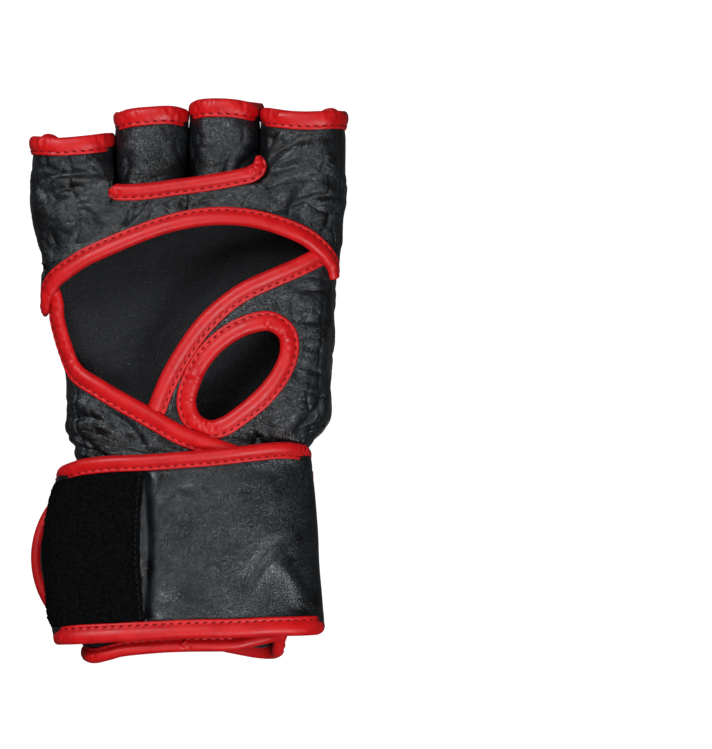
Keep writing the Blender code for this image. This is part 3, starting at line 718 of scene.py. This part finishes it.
INDEX_CREASES = ((31.5, 88, 52, 98, 1.2, -1.3), (34, 85.5, 55, 95, 2.2, 0.8),
    (32, 83.0, 55, 86.5, 1.5, -0.9), (38, 68, 60, 75, 1.2, -1.3), (36, 71, 58, 79, 2.3, 0.8),
    (30, 76, 51, 81.5, 1.3, -0.7), (35.8, 103, 33, 93.6, 0.9, -1.0), (53.8, 103, 49, 94.5, 0.9, -1.0),
    (43, 103, 42, 96, 0.8, -0.6), (31, 67, 44, 76, 1.8, 0.8), (2, 68, 11, 74.5, 1.2, -1.1),
    (0.4, 66, 0.4, 74.5, 1.3, -1.0), (22, 69, 28, 77, 1.2, -0.9), (56, 62, 61, 70, 1.2, -0.8),
    (12, 68, 20, 77, 2.2, 0.5))


def build_band():
    """The palm band in two halves, which meet in a crease: one bends with each outer finger."""
    arc = np.array(curve_points(PALM_ARC))
    middle_y = 77.2
    left_arc = arc[arc[:, 0] <= 0.3]
    right_arc = arc[arc[:, 0] >= -0.3]
    left_top = ((-63.6, 93.4), (-56, 93.2), (-44, 93.2), (-30.2, 94.4), (-30.0, 92), (-29.5, 86), (-29.3, 81),
                (-30.3, 78.4), (-28.6, 76.2), (-24.6, 75.4), (-14.6, 75.6), (-2.6, 77.0), (0.3, middle_y))
    right_top = ((-0.3, middle_y), (9.4, 78.6), (21.4, 80.6), (26.6, 82.2), (29.4, 84.8), (30.6, 88), (30.5, 93),
                 (30.5, 98), (30.6, 104.2), (38, 103.4), (48, 102.8), (63.4, 103.0))
    halves = (("pinky", left_top, left_arc, -1, PINKY_CREASES, (77.5, 90.0)),
              ("index", right_top, right_arc, 1, INDEX_CREASES, (81.5, 95.0)))
    for name, top, bottom, sign, lines, bend in halves:
        finger = next(f for f in FINGERS if f.name == name)
        top, bottom = HAND.line(resampled(np.array(top, float), 160)), HAND.line(bottom)
        outer_top = np.array([[HAND.side(top[0 if sign < 0 else -1, 1], sign), top[0 if sign < 0 else -1, 1]]])
        low_y = bottom[0 if sign < 0 else -1, 1]
        outer_low = np.array([[HAND.side(low_y, sign), low_y + 0.2]])
        if sign < 0:
            top, bottom = np.vstack([outer_top, top]), np.vstack([outer_low, bottom])
        else:
            top, bottom = np.vstack([top, outer_top]), np.vstack([bottom, outer_low])
        grid = between(bottom, top, 96, 180)
        q, y = grid[..., 0], grid[..., 1]
        flat, _ = HAND.place(q, y)
        x = flat[..., 0]
        relief = gentle_leather(flat, 0.95) + crease_relief(flat, lines)
        join = hump(x, 2.2)
        relief = relief * calm(flat, (PALM_ARC, FINGER_SLOT), ARC_WIDTH / 2)
        to_mouth = smooth_step(np.linspace(0, 1, 96), 0.84, 0.95)[:, None] * smooth_step(y, 88, 92)
        relief = relief * (1 - to_mouth) - 0.7 * to_mouth
        relief = relief * (1 - 0.35 * join) - 0.5 * hump(x, 1.1)
        points, _ = HAND.place(q, y, relief)
        points[..., 2] += lobe_height(finger, flat)
        outer_wall = smooth_step(points[..., 0] * sign, 59, 64) * smooth_step(points[..., 1], 80, 95)
        points[..., 0] -= sign * 1.9 * outer_wall
        piece = mesh_piece("band_" + name + "_side", points, LEATHER)
        thicken(piece, PANEL_THICKNESS)
        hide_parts("palm_band")
        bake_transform(piece)


def build_fingers():
    for finger in FINGERS:
        hull = finger.hull
        outer = finger.name in ("pinky", "index")
        around = hull.around(90)
        q = np.linspace(0, around, 150, endpoint=False)
        mouth = finger.rim_y(*[hull.place(q, 90 + q * 0)[0][:, k] for k in (0, 2)])
        share = np.linspace(0, 1, 64)[:, None]
        y = 70.5 + (mouth[None] - 0.6 - 70.5) * share
        q = np.broadcast_to(q, y.shape)
        flat, _ = hull.place(q, y)
        back = smooth_step(-flat[..., 2], -13, -4)
        pinch = hump(y - CREASE_Y, 2.4) * back
        x, z = flat[..., 0], flat[..., 2]
        centre, half = (finger.left + finger.right) / 2, (finger.right - finger.left) / 2
        wall = smooth_step(np.abs(x - centre), half * 0.84, half)
        relief = gentle_leather(flat + 57 * (1 + FINGERS.index(finger)), 0.75 * (1 - 0.5 * back) * (1 - 0.9 * wall))
        sunk = (-1.9 - 2.0 * smooth_step(-y, -93, -87)) * (1 - back) if outer else 0.0
        outward = (x - centre) / half * {"pinky": -1, "index": 1}.get(finger.name, 0)
        outer_wall = smooth_step(outward, 0.8, 0.98) * smooth_step(z, 8, 16)
        to_mouth = smooth_step(y - mouth[None], -8.0, -2.5)
        relief = relief * (0.3 if outer else 1.0) * (1 - to_mouth) + sunk * (1 - wall)
        relief = relief - 1.6 * pinch - 0.2 - 0.4 * to_mouth
        relief = relief + 0.35 * wall - 1.2 * outer_wall
        points, _ = hull.place(q, y, relief)
        points[..., 2] = np.maximum(points[..., 2], 0.15)
        piece = mesh_piece(finger.name + "_loop", points, LEATHER, wrap_columns=True)
        thicken(piece, 1.2)
        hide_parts(finger.name + "_sleeve", finger.name + "_pad")
        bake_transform(piece)

        q = np.linspace(0, around, int(around / 0.85), endpoint=False)
        line, normals = finger.rim_place(q)
        binding(finger.name + "_rim", line, normals, 7.6, -1, finger.body, finger.name + "_binding", closed=True,
                depth=2.4, seed=10 + FINGERS.index(finger), puff=0.6)
        build_finger_lining(finger)


def build_finger_lining(finger):
    low, high = node_box(finger.name + "_lining")
    sunk = 3.0 if finger.name in ("pinky", "index") else -0.6
    room = Hull(constant(low[0] - 0.4), constant(high[0] + 0.4), constant(low[2]), constant(high[2] - sunk), 2.5,
                60, 116)
    q = np.linspace(0, room.around(90), 72, endpoint=False)
    y = np.linspace(74, high[1] + 1.2, 26)[:, None]
    flat, _ = room.place(q, y)
    points, _ = room.place(q + y * 0, y + q * 0, noise(flat, 9, 21) * 0.7 - 0.4)
    piece = mesh_piece(finger.name + "_inner", points, TWILL, wrap_columns=True)
    smooth(thicken(piece, 0.6))
    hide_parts(finger.name + "_lining")
    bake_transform(piece)


# ---------------------------------------------------------------- palm panels
HEEL_CREASES = ((-50, -21, -36, -27, 1.3, -1.5), (-49, -15, -33, -15.5, 1.4, -1.1),
    (-50, -25.5, -30, -32, 1.2, -1.3), (-50, -9, -38, -4, 1.3, -0.8), (-51, 10, -45, 22, 1.6, -0.6),
    (-48, -6, -28, -23, 3.4, 1.4), (-30, -12, -16, -27, 1.4, -0.9), (-46, -18, -30, -20, 2.4, 1.0),
    (-50, 2, -44, 12, 2.4, 0.7), (-24, -18, -12, -28, 2.6, 0.9), (-47, -29, -34, -32, 2.0, 0.9))
THUMB_CREASES = ((52, 1, 30, -23, 4.2, 1.9), (56, -3, 43, -20, 1.2, -1.6), (57, -8, 49, -14, 3.0, 1.1),
    (43, -21.5, 58, -17.5, 1.1, -1.4), (56, -23, 43, -26, 3.2, 1.1), (44, 6, 57, 2, 1.2, -0.6),
    (46, 14, 58, 10, 1.5, -0.6), (45, 24, 58, 24, 1.6, -0.6), (38, 32, 54, 38, 1.8, -0.7),
    (28, 32, 44, 38, 2.6, 0.8), (24, -19, 34, -30, 1.4, -1.0), (20, -20, 27, -30, 2.4, 0.8),
    (6, 15, 14, 25, 1.5, 0.5), (-5, -6, 2, -20, 1.6, -0.7), (33, -10, 41, -4, 1.2, -0.5))


def seam_groove(x, y, z):
    """The side seam, a thin groove just inside each outline, with the leather rolling over beyond it."""
    left, right = smooth_table(HAND_LEFT)(y), smooth_table(HAND_RIGHT)(y)
    near = np.minimum(x - left, right - x) - SEAM_INSET
    upper = smooth_step(z, 18, 24) * (1 - 0.75 * smooth_step(x, 0, 20))
    return upper * (-0.85 * hump(near, 0.55) + 0.30 * hump(near - 1.6, 1.1))


def build_panels():
    edge = HAND.line(curve_points(HEEL_EDGE))
    side_y = np.linspace(edge[0, 1] + 1.0, PANEL_END_Y, 60)
    side = np.column_stack([HAND.side(side_y, -1), side_y])
    foot = HAND.line(np.array([[x, PANEL_END_Y] for x in np.linspace(-41, 27, 40)]))
    outer = np.vstack([side, foot])
    grid = between(outer, edge, 110, 200)
    q, y = grid[..., 0], grid[..., 1]
    flat, _ = HAND.place(q, y)
    x, z = flat[..., 0], flat[..., 2]
    wrist = smooth_step(-y, 5, 24)
    relief = gentle_leather(flat + 31, 0.75 + 0.1 * wrist) + crease_relief(flat, HEEL_CREASES)
    relief = relief - 0.1 + seam_groove(x, y, z)
    over = smooth_step(x, -24, -6)
    relief = relief * calm(flat, (HEEL_EDGE,), HEEL_WIDTH / 2)
    points, _ = HAND.place(q, y, relief + 1.2 * over)
    piece = mesh_piece("heel_leather", points, LEATHER)
    thicken(piece, PANEL_THICKNESS)
    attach(piece, "glove")
    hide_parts("heel_panel")

    centre = HAND.line([THUMB_CENTRE])[0]
    top_edge = HAND.line(curve_points(THUMB_EDGE))
    side_y = np.linspace(51.5, PANEL_END_Y, 80)
    side = np.column_stack([HAND.side(side_y, 1), side_y])
    foot = HAND.line(np.array([[x, PANEL_END_Y] for x in np.linspace(44, -4, 40)]))
    outline = np.vstack([side, foot, top_edge[::-1]])
    hole = HAND.line(curve_points(THUMB_HOLE, closed=True))
    turn = np.linspace(-pi, pi, 420, endpoint=False)

    def reach(loop):
        away = loop - centre
        angle = np.arctan2(away[:, 1], away[:, 0])
        order = np.argsort(angle)
        return np.interp(turn, angle[order], np.linalg.norm(away, axis=1)[order], period=2 * pi)

    inner, outer = reach(hole), reach(outline)
    share = np.linspace(0, 1, 100)[:, None]
    radius = outer[None] * (1 - share) + inner[None] * share
    q, y = centre[0] + radius * np.cos(turn)[None], centre[1] + radius * np.sin(turn)[None]
    flat, _ = HAND.place(q, y)
    x, z = flat[..., 0], flat[..., 2]
    relief = gentle_leather(flat + 77, 0.75) + crease_relief(flat, THUMB_CREASES)
    near = (radius - inner[None]) / 13.0
    pulled = np.exp(-near ** 2) * (0.5 + 0.5 * smooth_step(x, 20, 40))
    rays = np.stack([turn[None] * 19 + 0 * q, radius * 0.20, 0 * q], -1)
    relief = relief + pulled * (noise(rays, 3.6, 91) * 1.4 - 0.5 * ridge(rays, 4.6, 92) ** 2)
    closed_hole = THUMB_HOLE + THUMB_HOLE[:1]
    relief = relief * calm(flat, (THUMB_EDGE, closed_hole, HEEL_EDGE), HOLE_WIDTH / 2)
    points, _ = HAND.place(q, y, relief - 1.0 + seam_groove(x, y, z))
    piece = mesh_piece("thumb_leather", points, LEATHER, wrap_columns=True)
    thicken(piece, PANEL_THICKNESS)
    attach(piece, "glove")
    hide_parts("thumb_panel")

    for sign, table, start, name in ((-1, HAND_LEFT, 30, "left"), (1, HAND_RIGHT, 44, "right")):
        y = np.arange(start, -33, -0.8)
        x = smooth_table(table)(y) - sign * SEAM_INSET
        q = HAND.q_at(x, y)
        line, normals = HAND.place(q, y, -0.9 if sign < 0 else -1.9)
        stitches("side_stitches_" + name, line, normals, "glove", pitch=2.6, thread=0.24, share=0.62,
                 material=BLACK_THREAD)


def build_back():
    """The outer leather from one side wall round the back to the other, quilted over its foam."""
    columns = 170
    y = np.linspace(PANEL_END_Y, 82.0, 112)[:, None]
    start, end = HAND.side(y, 1), HAND.around(y) + HAND.side(y, -1)
    share = np.linspace(-0.02, 1.02, columns)[None]
    q = start + (end - start) * share
    y = y + 0 * q
    flat, _ = HAND.place(q, y)
    x, z = flat[..., 0], flat[..., 2]
    back = smooth_step(-z, -16, -5)
    quilt = -1.5 * hump(y - 38 + 3 * (x / 50) ** 2, 1.9)
    for groove in (-29.4, 0.4, 29.2):
        quilt = quilt - 1.3 * hump(x - groove, 1.8) * smooth_step(y, 42, 52)
    round_end = smooth_step(y, 74, 82) ** 2 * 3.0
    relief = gentle_leather(flat + 131, 0.85) * (1 - 0.4 * back)
    points, _ = HAND.place(q, y, relief * 0.8 - 0.35 * back + (quilt * back) - round_end)
    lifted = smooth_step(-z, -3, 0.5)
    points[..., 2] = np.maximum(points[..., 2], 0.0) + lifted * (0.9 + relief * 0.45 - quilt)
    points[..., 2] = np.maximum(points[..., 2], 0.02)
    piece = mesh_piece("back_leather", points, LEATHER)
    smooth(thicken(piece, 1.4))
    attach(piece, "glove")
    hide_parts("back_shell", "backhand_foam", "knuckle_foam")


# ---------------------------------------------------------------- hand lining
def build_hand_lining():
    """The lining seen through the openings: a shallow trough that rises to the palm panels' underside."""
    y = np.linspace(-34.5, 84, 150)[:, None]
    turn = np.linspace(-1, 1, 150)[None]
    left, right = smooth_table(HAND_LEFT)(y) + 5.0, smooth_table(HAND_RIGHT)(y) - 5.0
    x = (left + right) / 2 + (right - left) / 2 * np.sin(turn * pi / 2)
    low = 13.6 + 3.4 * smooth_step(y, 0, 70)
    high = smooth_table(PALM_HEIGHT)(y) - 10.5
    share = np.abs(np.sin(turn * pi / 2))
    z = low + (high - low) * share ** 3.4
    y, x = y + 0 * x, x + 0 * y
    flat = np.stack([x, y, 0 * x], -1)
    folds = noise(flat, 30, 15) * 2.4 + noise(flat, 12, 16) * 0.9 - ridge(flat + 9, 17, 17) ** 2 * 0.5
    z = z + folds * (1 - share ** 4)
    piece = mesh_piece("palm_lining", np.stack([x, y, z], -1), TWILL)
    smooth(thicken(piece, 0.7))
    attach(piece, "glove")
    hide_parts("hand_lining")
    return piece


# ---------------------------------------------------------------- the camera, the light and the table top
PICTURE_CENTRE = (67.8, 3.0)
PICTURE_HEIGHT = 299.6        # mm seen at the level of the palm
LENS, SENSOR = 260.0, 36.0
FOCUS_DROP = 4.0              # the picture's level lies this far below the highest leather
TABLE_HALF, TABLE_Z = 1500, -0.3
WORLD_STRENGTH = 0.07


def build_stage():
    scene = bpy.context.scene
    scene.view_settings.view_transform = "Standard"
    camera_data = bpy.data.cameras.new("camera")
    camera_data.lens, camera_data.sensor_width = LENS, SENSOR
    camera = bpy.data.objects.new("camera", camera_data)
    away = PICTURE_HEIGHT * LENS / SENSOR
    camera.location = (PICTURE_CENTRE[0] * MM, PICTURE_CENTRE[1] * MM, (PALM_TOP - FOCUS_DROP + away) * MM)
    scene.collection.objects.link(camera)
    scene.camera = camera
    camera_data.clip_start, camera_data.clip_end = 0.01, 10

    corners = [(x * TABLE_HALF, y * TABLE_HALF, TABLE_Z) for x, y in ((-1, -1), (1, -1), (1, 1), (-1, 1))]
    floor = mesh_from("table_top", corners, [(0, 1, 2, 3)], PALE)
    floor.visible_diffuse = floor.visible_glossy = False
    lamps = (("ceiling", (-120, 140, 1250), 700, 2.2), ("key", (-420, 520, 760), 340, 6.3),
             ("side", (330, -480, 700), 280, 5.0))
    for name, place, size, power in lamps:
        data = bpy.data.lights.new(name, "AREA")
        data.shape, data.size, data.energy = "SQUARE", size * MM, power
        data.color = (0.92, 0.97, 1.0)
        lamp = bpy.data.objects.new(name, data)
        lamp.location = [v * MM for v in place]
        lamp.rotation_euler = (-lamp.location).to_track_quat("-Z", "Y").to_euler()
        scene.collection.objects.link(lamp)
    world = bpy.data.worlds.new("studio")
    world.use_nodes = True
    world.node_tree.nodes["Background"].inputs["Color"].default_value = (1, 1, 1, 1)
    world.node_tree.nodes["Background"].inputs["Strength"].default_value = WORLD_STRENGTH
    scene.world = world


# ---------------------------------------------------------------- cuff
CUFF = Hull(smooth_table(CUFF_LEFT), smooth_table(CUFF_RIGHT), constant(CUFF_LOW[2]), constant(CUFF_HIGH[2]), 3.0,
            -117, -20)
CUFF_FRONT = smooth_table(((-46, -108.0), (-42, -109.2), (-39, -109.7), (-33, -108.5), (-26.6, -107.0),
                           (-14, -105.8), (-2.6, -105.3), (12, -104.9), (19.4, -104.6), (26, -103.2),
                           (34, -101.4), (42, -100.4)))
CUFF_BACK = smooth_table(((-46, -108.0), (-36, -106.2), (-20, -105.4), (6, -105.2), (18, -107.0), (28.6, -108.8),
                          (35.4, -109.0), (39.5, -107.6), (44, -105.0)))


def cuff_end(x, z):
    front = smooth_step(z, 16, 25)
    return CUFF_FRONT(x) * front + CUFF_BACK(x) * (1 - front)


def build_cuff():
    around = CUFF.around(-100)
    q = np.linspace(0, around, 150, endpoint=False)[None]
    flat, _ = CUFF.place(q, -100 + 0 * q)
    end = cuff_end(flat[..., 0], flat[..., 2]) + 1.5
    y = end + (-26 - end) * np.linspace(0, 1, 60)[:, None]
    q = q + 0 * y
    flat, _ = CUFF.place(q, y)
    points, _ = CUFF.place(q, y, gentle_leather(flat + 211, 0.6) - 0.3)
    tube = mesh_piece("cuff_leather", points, LEATHER, wrap_columns=True)
    smooth(thicken(tube, 3.6))
    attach(tube, "glove")
    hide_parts("cuff_shell", "cuff_padding")
    points, _ = CUFF.place(q, y, -4.3 + noise(flat, 14, 18) * 0.8)
    inner = mesh_piece("cuff_inner", points, TWILL, wrap_columns=True)
    smooth(thicken(inner, 0.6))
    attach(inner, "glove")
    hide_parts("cuff_lining")

    q = np.linspace(0, around, int(around / 0.85), endpoint=False)
    flat, _ = CUFF.place(q, -105 + q * 0)
    line, normals = CUFF.place(q, cuff_end(flat[:, 0], flat[:, 2]), 0.1)
    line -= normals * (2.0 * normals[:, :1] ** 2)
    binding("cuff_rim", line, normals, 6.4, 1, "glove", "cuff_binding", closed=True, depth=3.0, seed=21)


# ---------------------------------------------------------------- strap round the wrist
STRAP = Hull(smooth_table(STRAP_LEFT), smooth_table(STRAP_RIGHT), constant(STRAP_LOW[2] - 5.1),
             constant(STRAP_HIGH[2] - 0.6), 2.75, -112, -16)
STRAP_UPPER = ((-53, -38.4), (-47, -35.6), (-42.6, -34.4), (-30.6, -32.8), (-10.6, -31.6), (13.4, -29.6),
    (37.4, -27.6), (47.4, -28.2))
STRAP_LOWER = ((-54.6, -102.0), (-30.6, -100.2), (5.4, -98.6), (45.4, -97.7), (53.0, -97.7))
STRAP_DOWN = 15.0        # how far the strap goes down each side wall past its middle
PATCH_EDGE_X = -21.0
SELVAGE = 2.4            # flat woven edge of the loop tape, without pile
STRAP_CREASES = ((23, -84, 39, -61, 1.9, -0.75), (26, -86, 43, -64, 2.2, 0.5),
    (-8, -45, 6, -49, 1.6, -0.45), (-2, -42, 9, -45, 1.4, 0.45), (-10, -52, 8, -56, 2.0, 0.3),
    (44, -50, 50, -92, 3.0, -0.4), (34, -70, 47, -90, 3.4, 0.8), (-14, -88, 12, -91, 2.4, -0.35),
    (14, -36, 40, -38, 2.6, -0.4), (0, -60, 22, -72, 5.0, 0.4))


def strap_edge(table, fall):
    """A strap edge as (q, y), its plan line carried on down both side walls."""
    line = STRAP.line(curve_points(table, 1.0))
    quarter = STRAP.around(-70) / 4
    left = np.array([[-quarter - STRAP_DOWN, line[0, 1] + fall[0]], [-quarter, line[0, 1] + fall[0] * 0.6]])
    right = np.array([[quarter, line[-1, 1] + fall[1] * 0.6], [quarter + STRAP_DOWN, line[-1, 1] + fall[1]]])
    return np.array(curve_points(np.vstack([left, line[::6], line[-1:], right]), 0.85))


def strap_swell(y):
    """The strap bulges a little between its two tight edges."""
    middle, half = -66.0, 34.0
    return 0.9 * (1 - np.clip(np.abs(y - middle) / half, 0, 1) ** 2.6) - 0.6


STRAP_TOP_LINE, STRAP_LOW_LINE = strap_edge(STRAP_UPPER, (-3.2, -5.0)), strap_edge(STRAP_LOWER, (1.0, 0.5))


def build_strap():
    grid = between(STRAP_LOW_LINE, STRAP_TOP_LINE, 90, 200)
    q, y = grid[..., 0], grid[..., 1]
    flat, _ = STRAP.place(q, y)
    relief = strap_swell(y) + crease_relief(flat, STRAP_CREASES)
    relief = relief + noise(flat, 26, 51) * 1.2 + noise(flat + 300, 11, 52) * 0.55
    x = flat[..., 0]
    fold = x - (PATCH_EDGE_X + 4.6) - 0.8 * np.sin(y / 14)
    valley = np.where(fold < 0, 9.0, 1.5)
    relief = relief - 2.4 * hump(fold, valley) + 0.7 * hump(fold - 4.4, 2.6)
    relief = relief - 1.5 * smooth_step(x, 28, 52)
    edges = np.minimum(np.linspace(0, 1, 90), np.linspace(1, 0, 90))[:, None]
    relief = relief * smooth_step(edges, 0.035, 0.10) - 0.5 * (1 - smooth_step(edges, 0.035, 0.10))
    _, normals = STRAP.place(q, y)
    points, _ = STRAP.place(q, y, relief * (1 - 0.8 * normals[..., 0] ** 2) - 0.3)
    shell = mesh_piece("strap_leather", points, LEATHER_SMOOTH)
    smooth(thicken(shell, 2.0))
    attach(shell, "glove")
    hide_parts("strap_shell")
    points, _ = STRAP.place(q, y, relief * 0.3 - 3.4)
    inner = mesh_piece("strap_inner", points[::2, ::2], TWILL)
    smooth(thicken(inner, 0.7))
    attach(inner, "glove")
    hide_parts("strap_lining")

    for name, line, side, node, width in (
            ("strap_upper_rim", STRAP_TOP_LINE, -1, "strap_top_binding", 6.8),
            ("strap_lower_rim", STRAP_LOW_LINE, 1, "strap_bottom_binding", 8.0)):
        points, normals = STRAP.place(line[:, 0], line[:, 1], 0.1)
        points = points - normals * (2.3 * normals[:, :1] ** 2)
        binding(name, points, normals, width, side, "glove", node, depth=2.6, seed=31 + side)

    build_loop_patch()


def build_loop_patch():
    def low_y(q):
        return np.interp(q, *STRAP_LOW_LINE.T) + 3.4

    def high_y(q):
        return np.interp(q, *STRAP_TOP_LINE.T) - 2.8

    end = STRAP.q_at(PATCH_EDGE_X + SELVAGE, -70)[0]
    start = -STRAP.around(-70) / 4 - 9
    rows, columns = 190, 230
    q = start + (end - start) * np.linspace(0, 1, columns)[None] + np.zeros((rows, 1))
    q = q + 0.5 * noise(np.stack([0 * q, np.linspace(0, 66, rows)[:, None] + 0 * q, 0 * q], -1), 7, 61)
    y = low_y(q) + (high_y(q) - low_y(q)) * np.linspace(0, 1, rows)[:, None]
    flat, _ = STRAP.place(q, y)
    edge = smooth_step(end - q, SELVAGE, SELVAGE + 1.6)
    edge = edge * smooth_step(y - low_y(q), 0, 1.5) * smooth_step(high_y(q) - y, 0, 1.5)
    pile = noise(flat, 1.9, 62) * 0.75 + noise(flat, 0.9, 63) * 0.8 + ridge(flat, 1.3, 64) * 0.25
    swell = strap_swell(y) + noise(flat, 26, 51) * 1.2
    _, normals = STRAP.place(q, y)
    low_side = 1 - 0.9 * np.abs(normals[..., 0]) ** 2
    bare = 1 - smooth_step(end - q, 0, SELVAGE)
    points, _ = STRAP.place(q, y, swell * low_side - 0.2 - 0.5 * bare + edge * (1.15 * low_side + pile * 0.75))
    patch = mesh_piece("loop_pile", points, LOOP)
    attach(thicken(patch, 0.9), "glove")
    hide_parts("loop_patch")
    y = np.linspace(low_y(end) + 0.5, high_y(end) - 0.5, 90)
    line, normals = STRAP.place(end - SELVAGE * 0.7 + 0 * y, y, strap_swell(y) + 0.1)
    stitches("patch_stitches", line, normals, "glove", pitch=2.4, thread=0.25, material=BLACK_THREAD)


# ---------------------------------------------------------------- closing flap
FLAP_CENTRE_Y = (FLAP_LOW[1] + FLAP_HIGH[1]) / 2
FLAP_HALF = (FLAP_HIGH[1] - FLAP_LOW[1]) / 2
FLAP_ROUND_X = FLAP_LOW[0] + FLAP_HALF
FLAP_ROOT_X = FLAP_HIGH[0]


def flap_edge(inset, root_x):
    """The flap's outline moved in by inset, from its root along the top, round the tip and back."""
    half = FLAP_HALF - inset
    turn = np.linspace(pi / 2, 3 * pi / 2, 60)
    tip = np.column_stack([FLAP_ROUND_X + np.cos(turn) * half, FLAP_CENTRE_Y + np.sin(turn) * half])
    straight = np.linspace(root_x, FLAP_ROUND_X + 1, 50)
    top = np.column_stack([straight, straight * 0 + FLAP_CENTRE_Y + half])
    foot = np.column_stack([straight[::-1], straight * 0 + FLAP_CENTRE_Y - half])
    line = np.vstack([top, tip, foot])
    raised = smooth_step(line[:, 0], -12, 50) * smooth_step(-line[:, 1], 80, 100)
    line[:, 1] += raised * 6.5
    return resampled(line, 420)


def flap_layer(name, inset, root_x, z, thickness, material, node, relief):
    """One flat layer of the flap: across it from its top edge to its bottom edge."""
    line = flap_edge(inset, root_x)
    half = len(line) // 2
    top, foot = line[:half], line[half:][::-1]
    share = np.linspace(0, 1, 60)[:, None, None]
    plan = foot[None] * (1 - share) + top[None] * share
    plan = plan[:, ::-1]
    where = np.concatenate([plan, plan[..., :1] * 0], -1)
    points = np.concatenate([plan, (z + relief(where))[..., None]], -1)
    piece = mesh_piece(name, points, material)
    smooth(thicken(piece, thickness))
    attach(piece, "flap")
    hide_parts(node)
    return piece


def build_flap():
    flap_layer("flap_leather", 3.2, FLAP_ROOT_X - 0.5, 1.75, 1.6, LEATHER, "flap_shell",
               lambda p: noise(p, 19, 71) * 0.12)
    flap_layer("flap_inner", 3.4, FLAP_ROOT_X - 1.0, 2.85, 0.8, TWILL, "flap_lining",
               lambda p: noise(p, 15, 72) * 0.15)
    flap_layer("hook_tape_patch", 9.0, -13.0, 4.0, 0.8, HOOK, "hook_patch",
               lambda p: noise(p, 1.4, 73) * 0.25)
    line = flap_edge(3.0, FLAP_ROOT_X)
    height = 1.45 + noise(np.column_stack([line, line[:, :1] * 0]), 17, 74) * 0.2
    points = np.column_stack([line, height])
    normals = np.tile((0.0, 0.0, 1.0), (len(points), 1))
    binding("flap_rim", points, normals, 6.0, 1, "flap", "flap_binding", depth=1.3, seed=41)

    # the leather that turns under at the thumb side, from the strap's end to the flap's root
    lower, upper = STRAP_LOW_LINE, STRAP_TOP_LINE
    turn = np.linspace(0, 1, 26)[:, None]
    across = np.linspace(0, 1, 90)[None]
    start_y = lower[-1, 1] + (upper[-1, 1] - lower[-1, 1]) * across
    end_y = FLAP_CENTRE_Y + 3.2 + (across * 2 - 1) * (FLAP_HALF - 6.0)
    y = start_y * (1 - turn) + end_y * turn
    side, _ = STRAP.place(lower[-1, 0] - 1.0, start_y, -1.2)
    angle = turn * pi / 2
    x = FLAP_ROOT_X - 2.0 + (side[..., 0] - FLAP_ROOT_X + 2.0) * np.cos(angle)
    z = side[..., 2] + (1.7 - side[..., 2]) * np.sin(angle)
    points = np.stack([x, y, z], -1)
    piece = mesh_piece("flap_fold", points, LEATHER)
    smooth(thicken(piece, 1.4))
    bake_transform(piece)


PALE = Nodes("pale_table").set(Base_Color=(0.6, 0.6, 0.6, 1), Roughness=0.95, Specular_IOR_Level=0.05,
                               Emission_Color=(1, 1, 1, 1), Emission_Strength=0.75)
build_hand_lining()
build_back()
build_panels()
build_band()
build_fingers()
build_palm_bindings()
build_cuff()
build_strap()
build_flap()
build_stage()
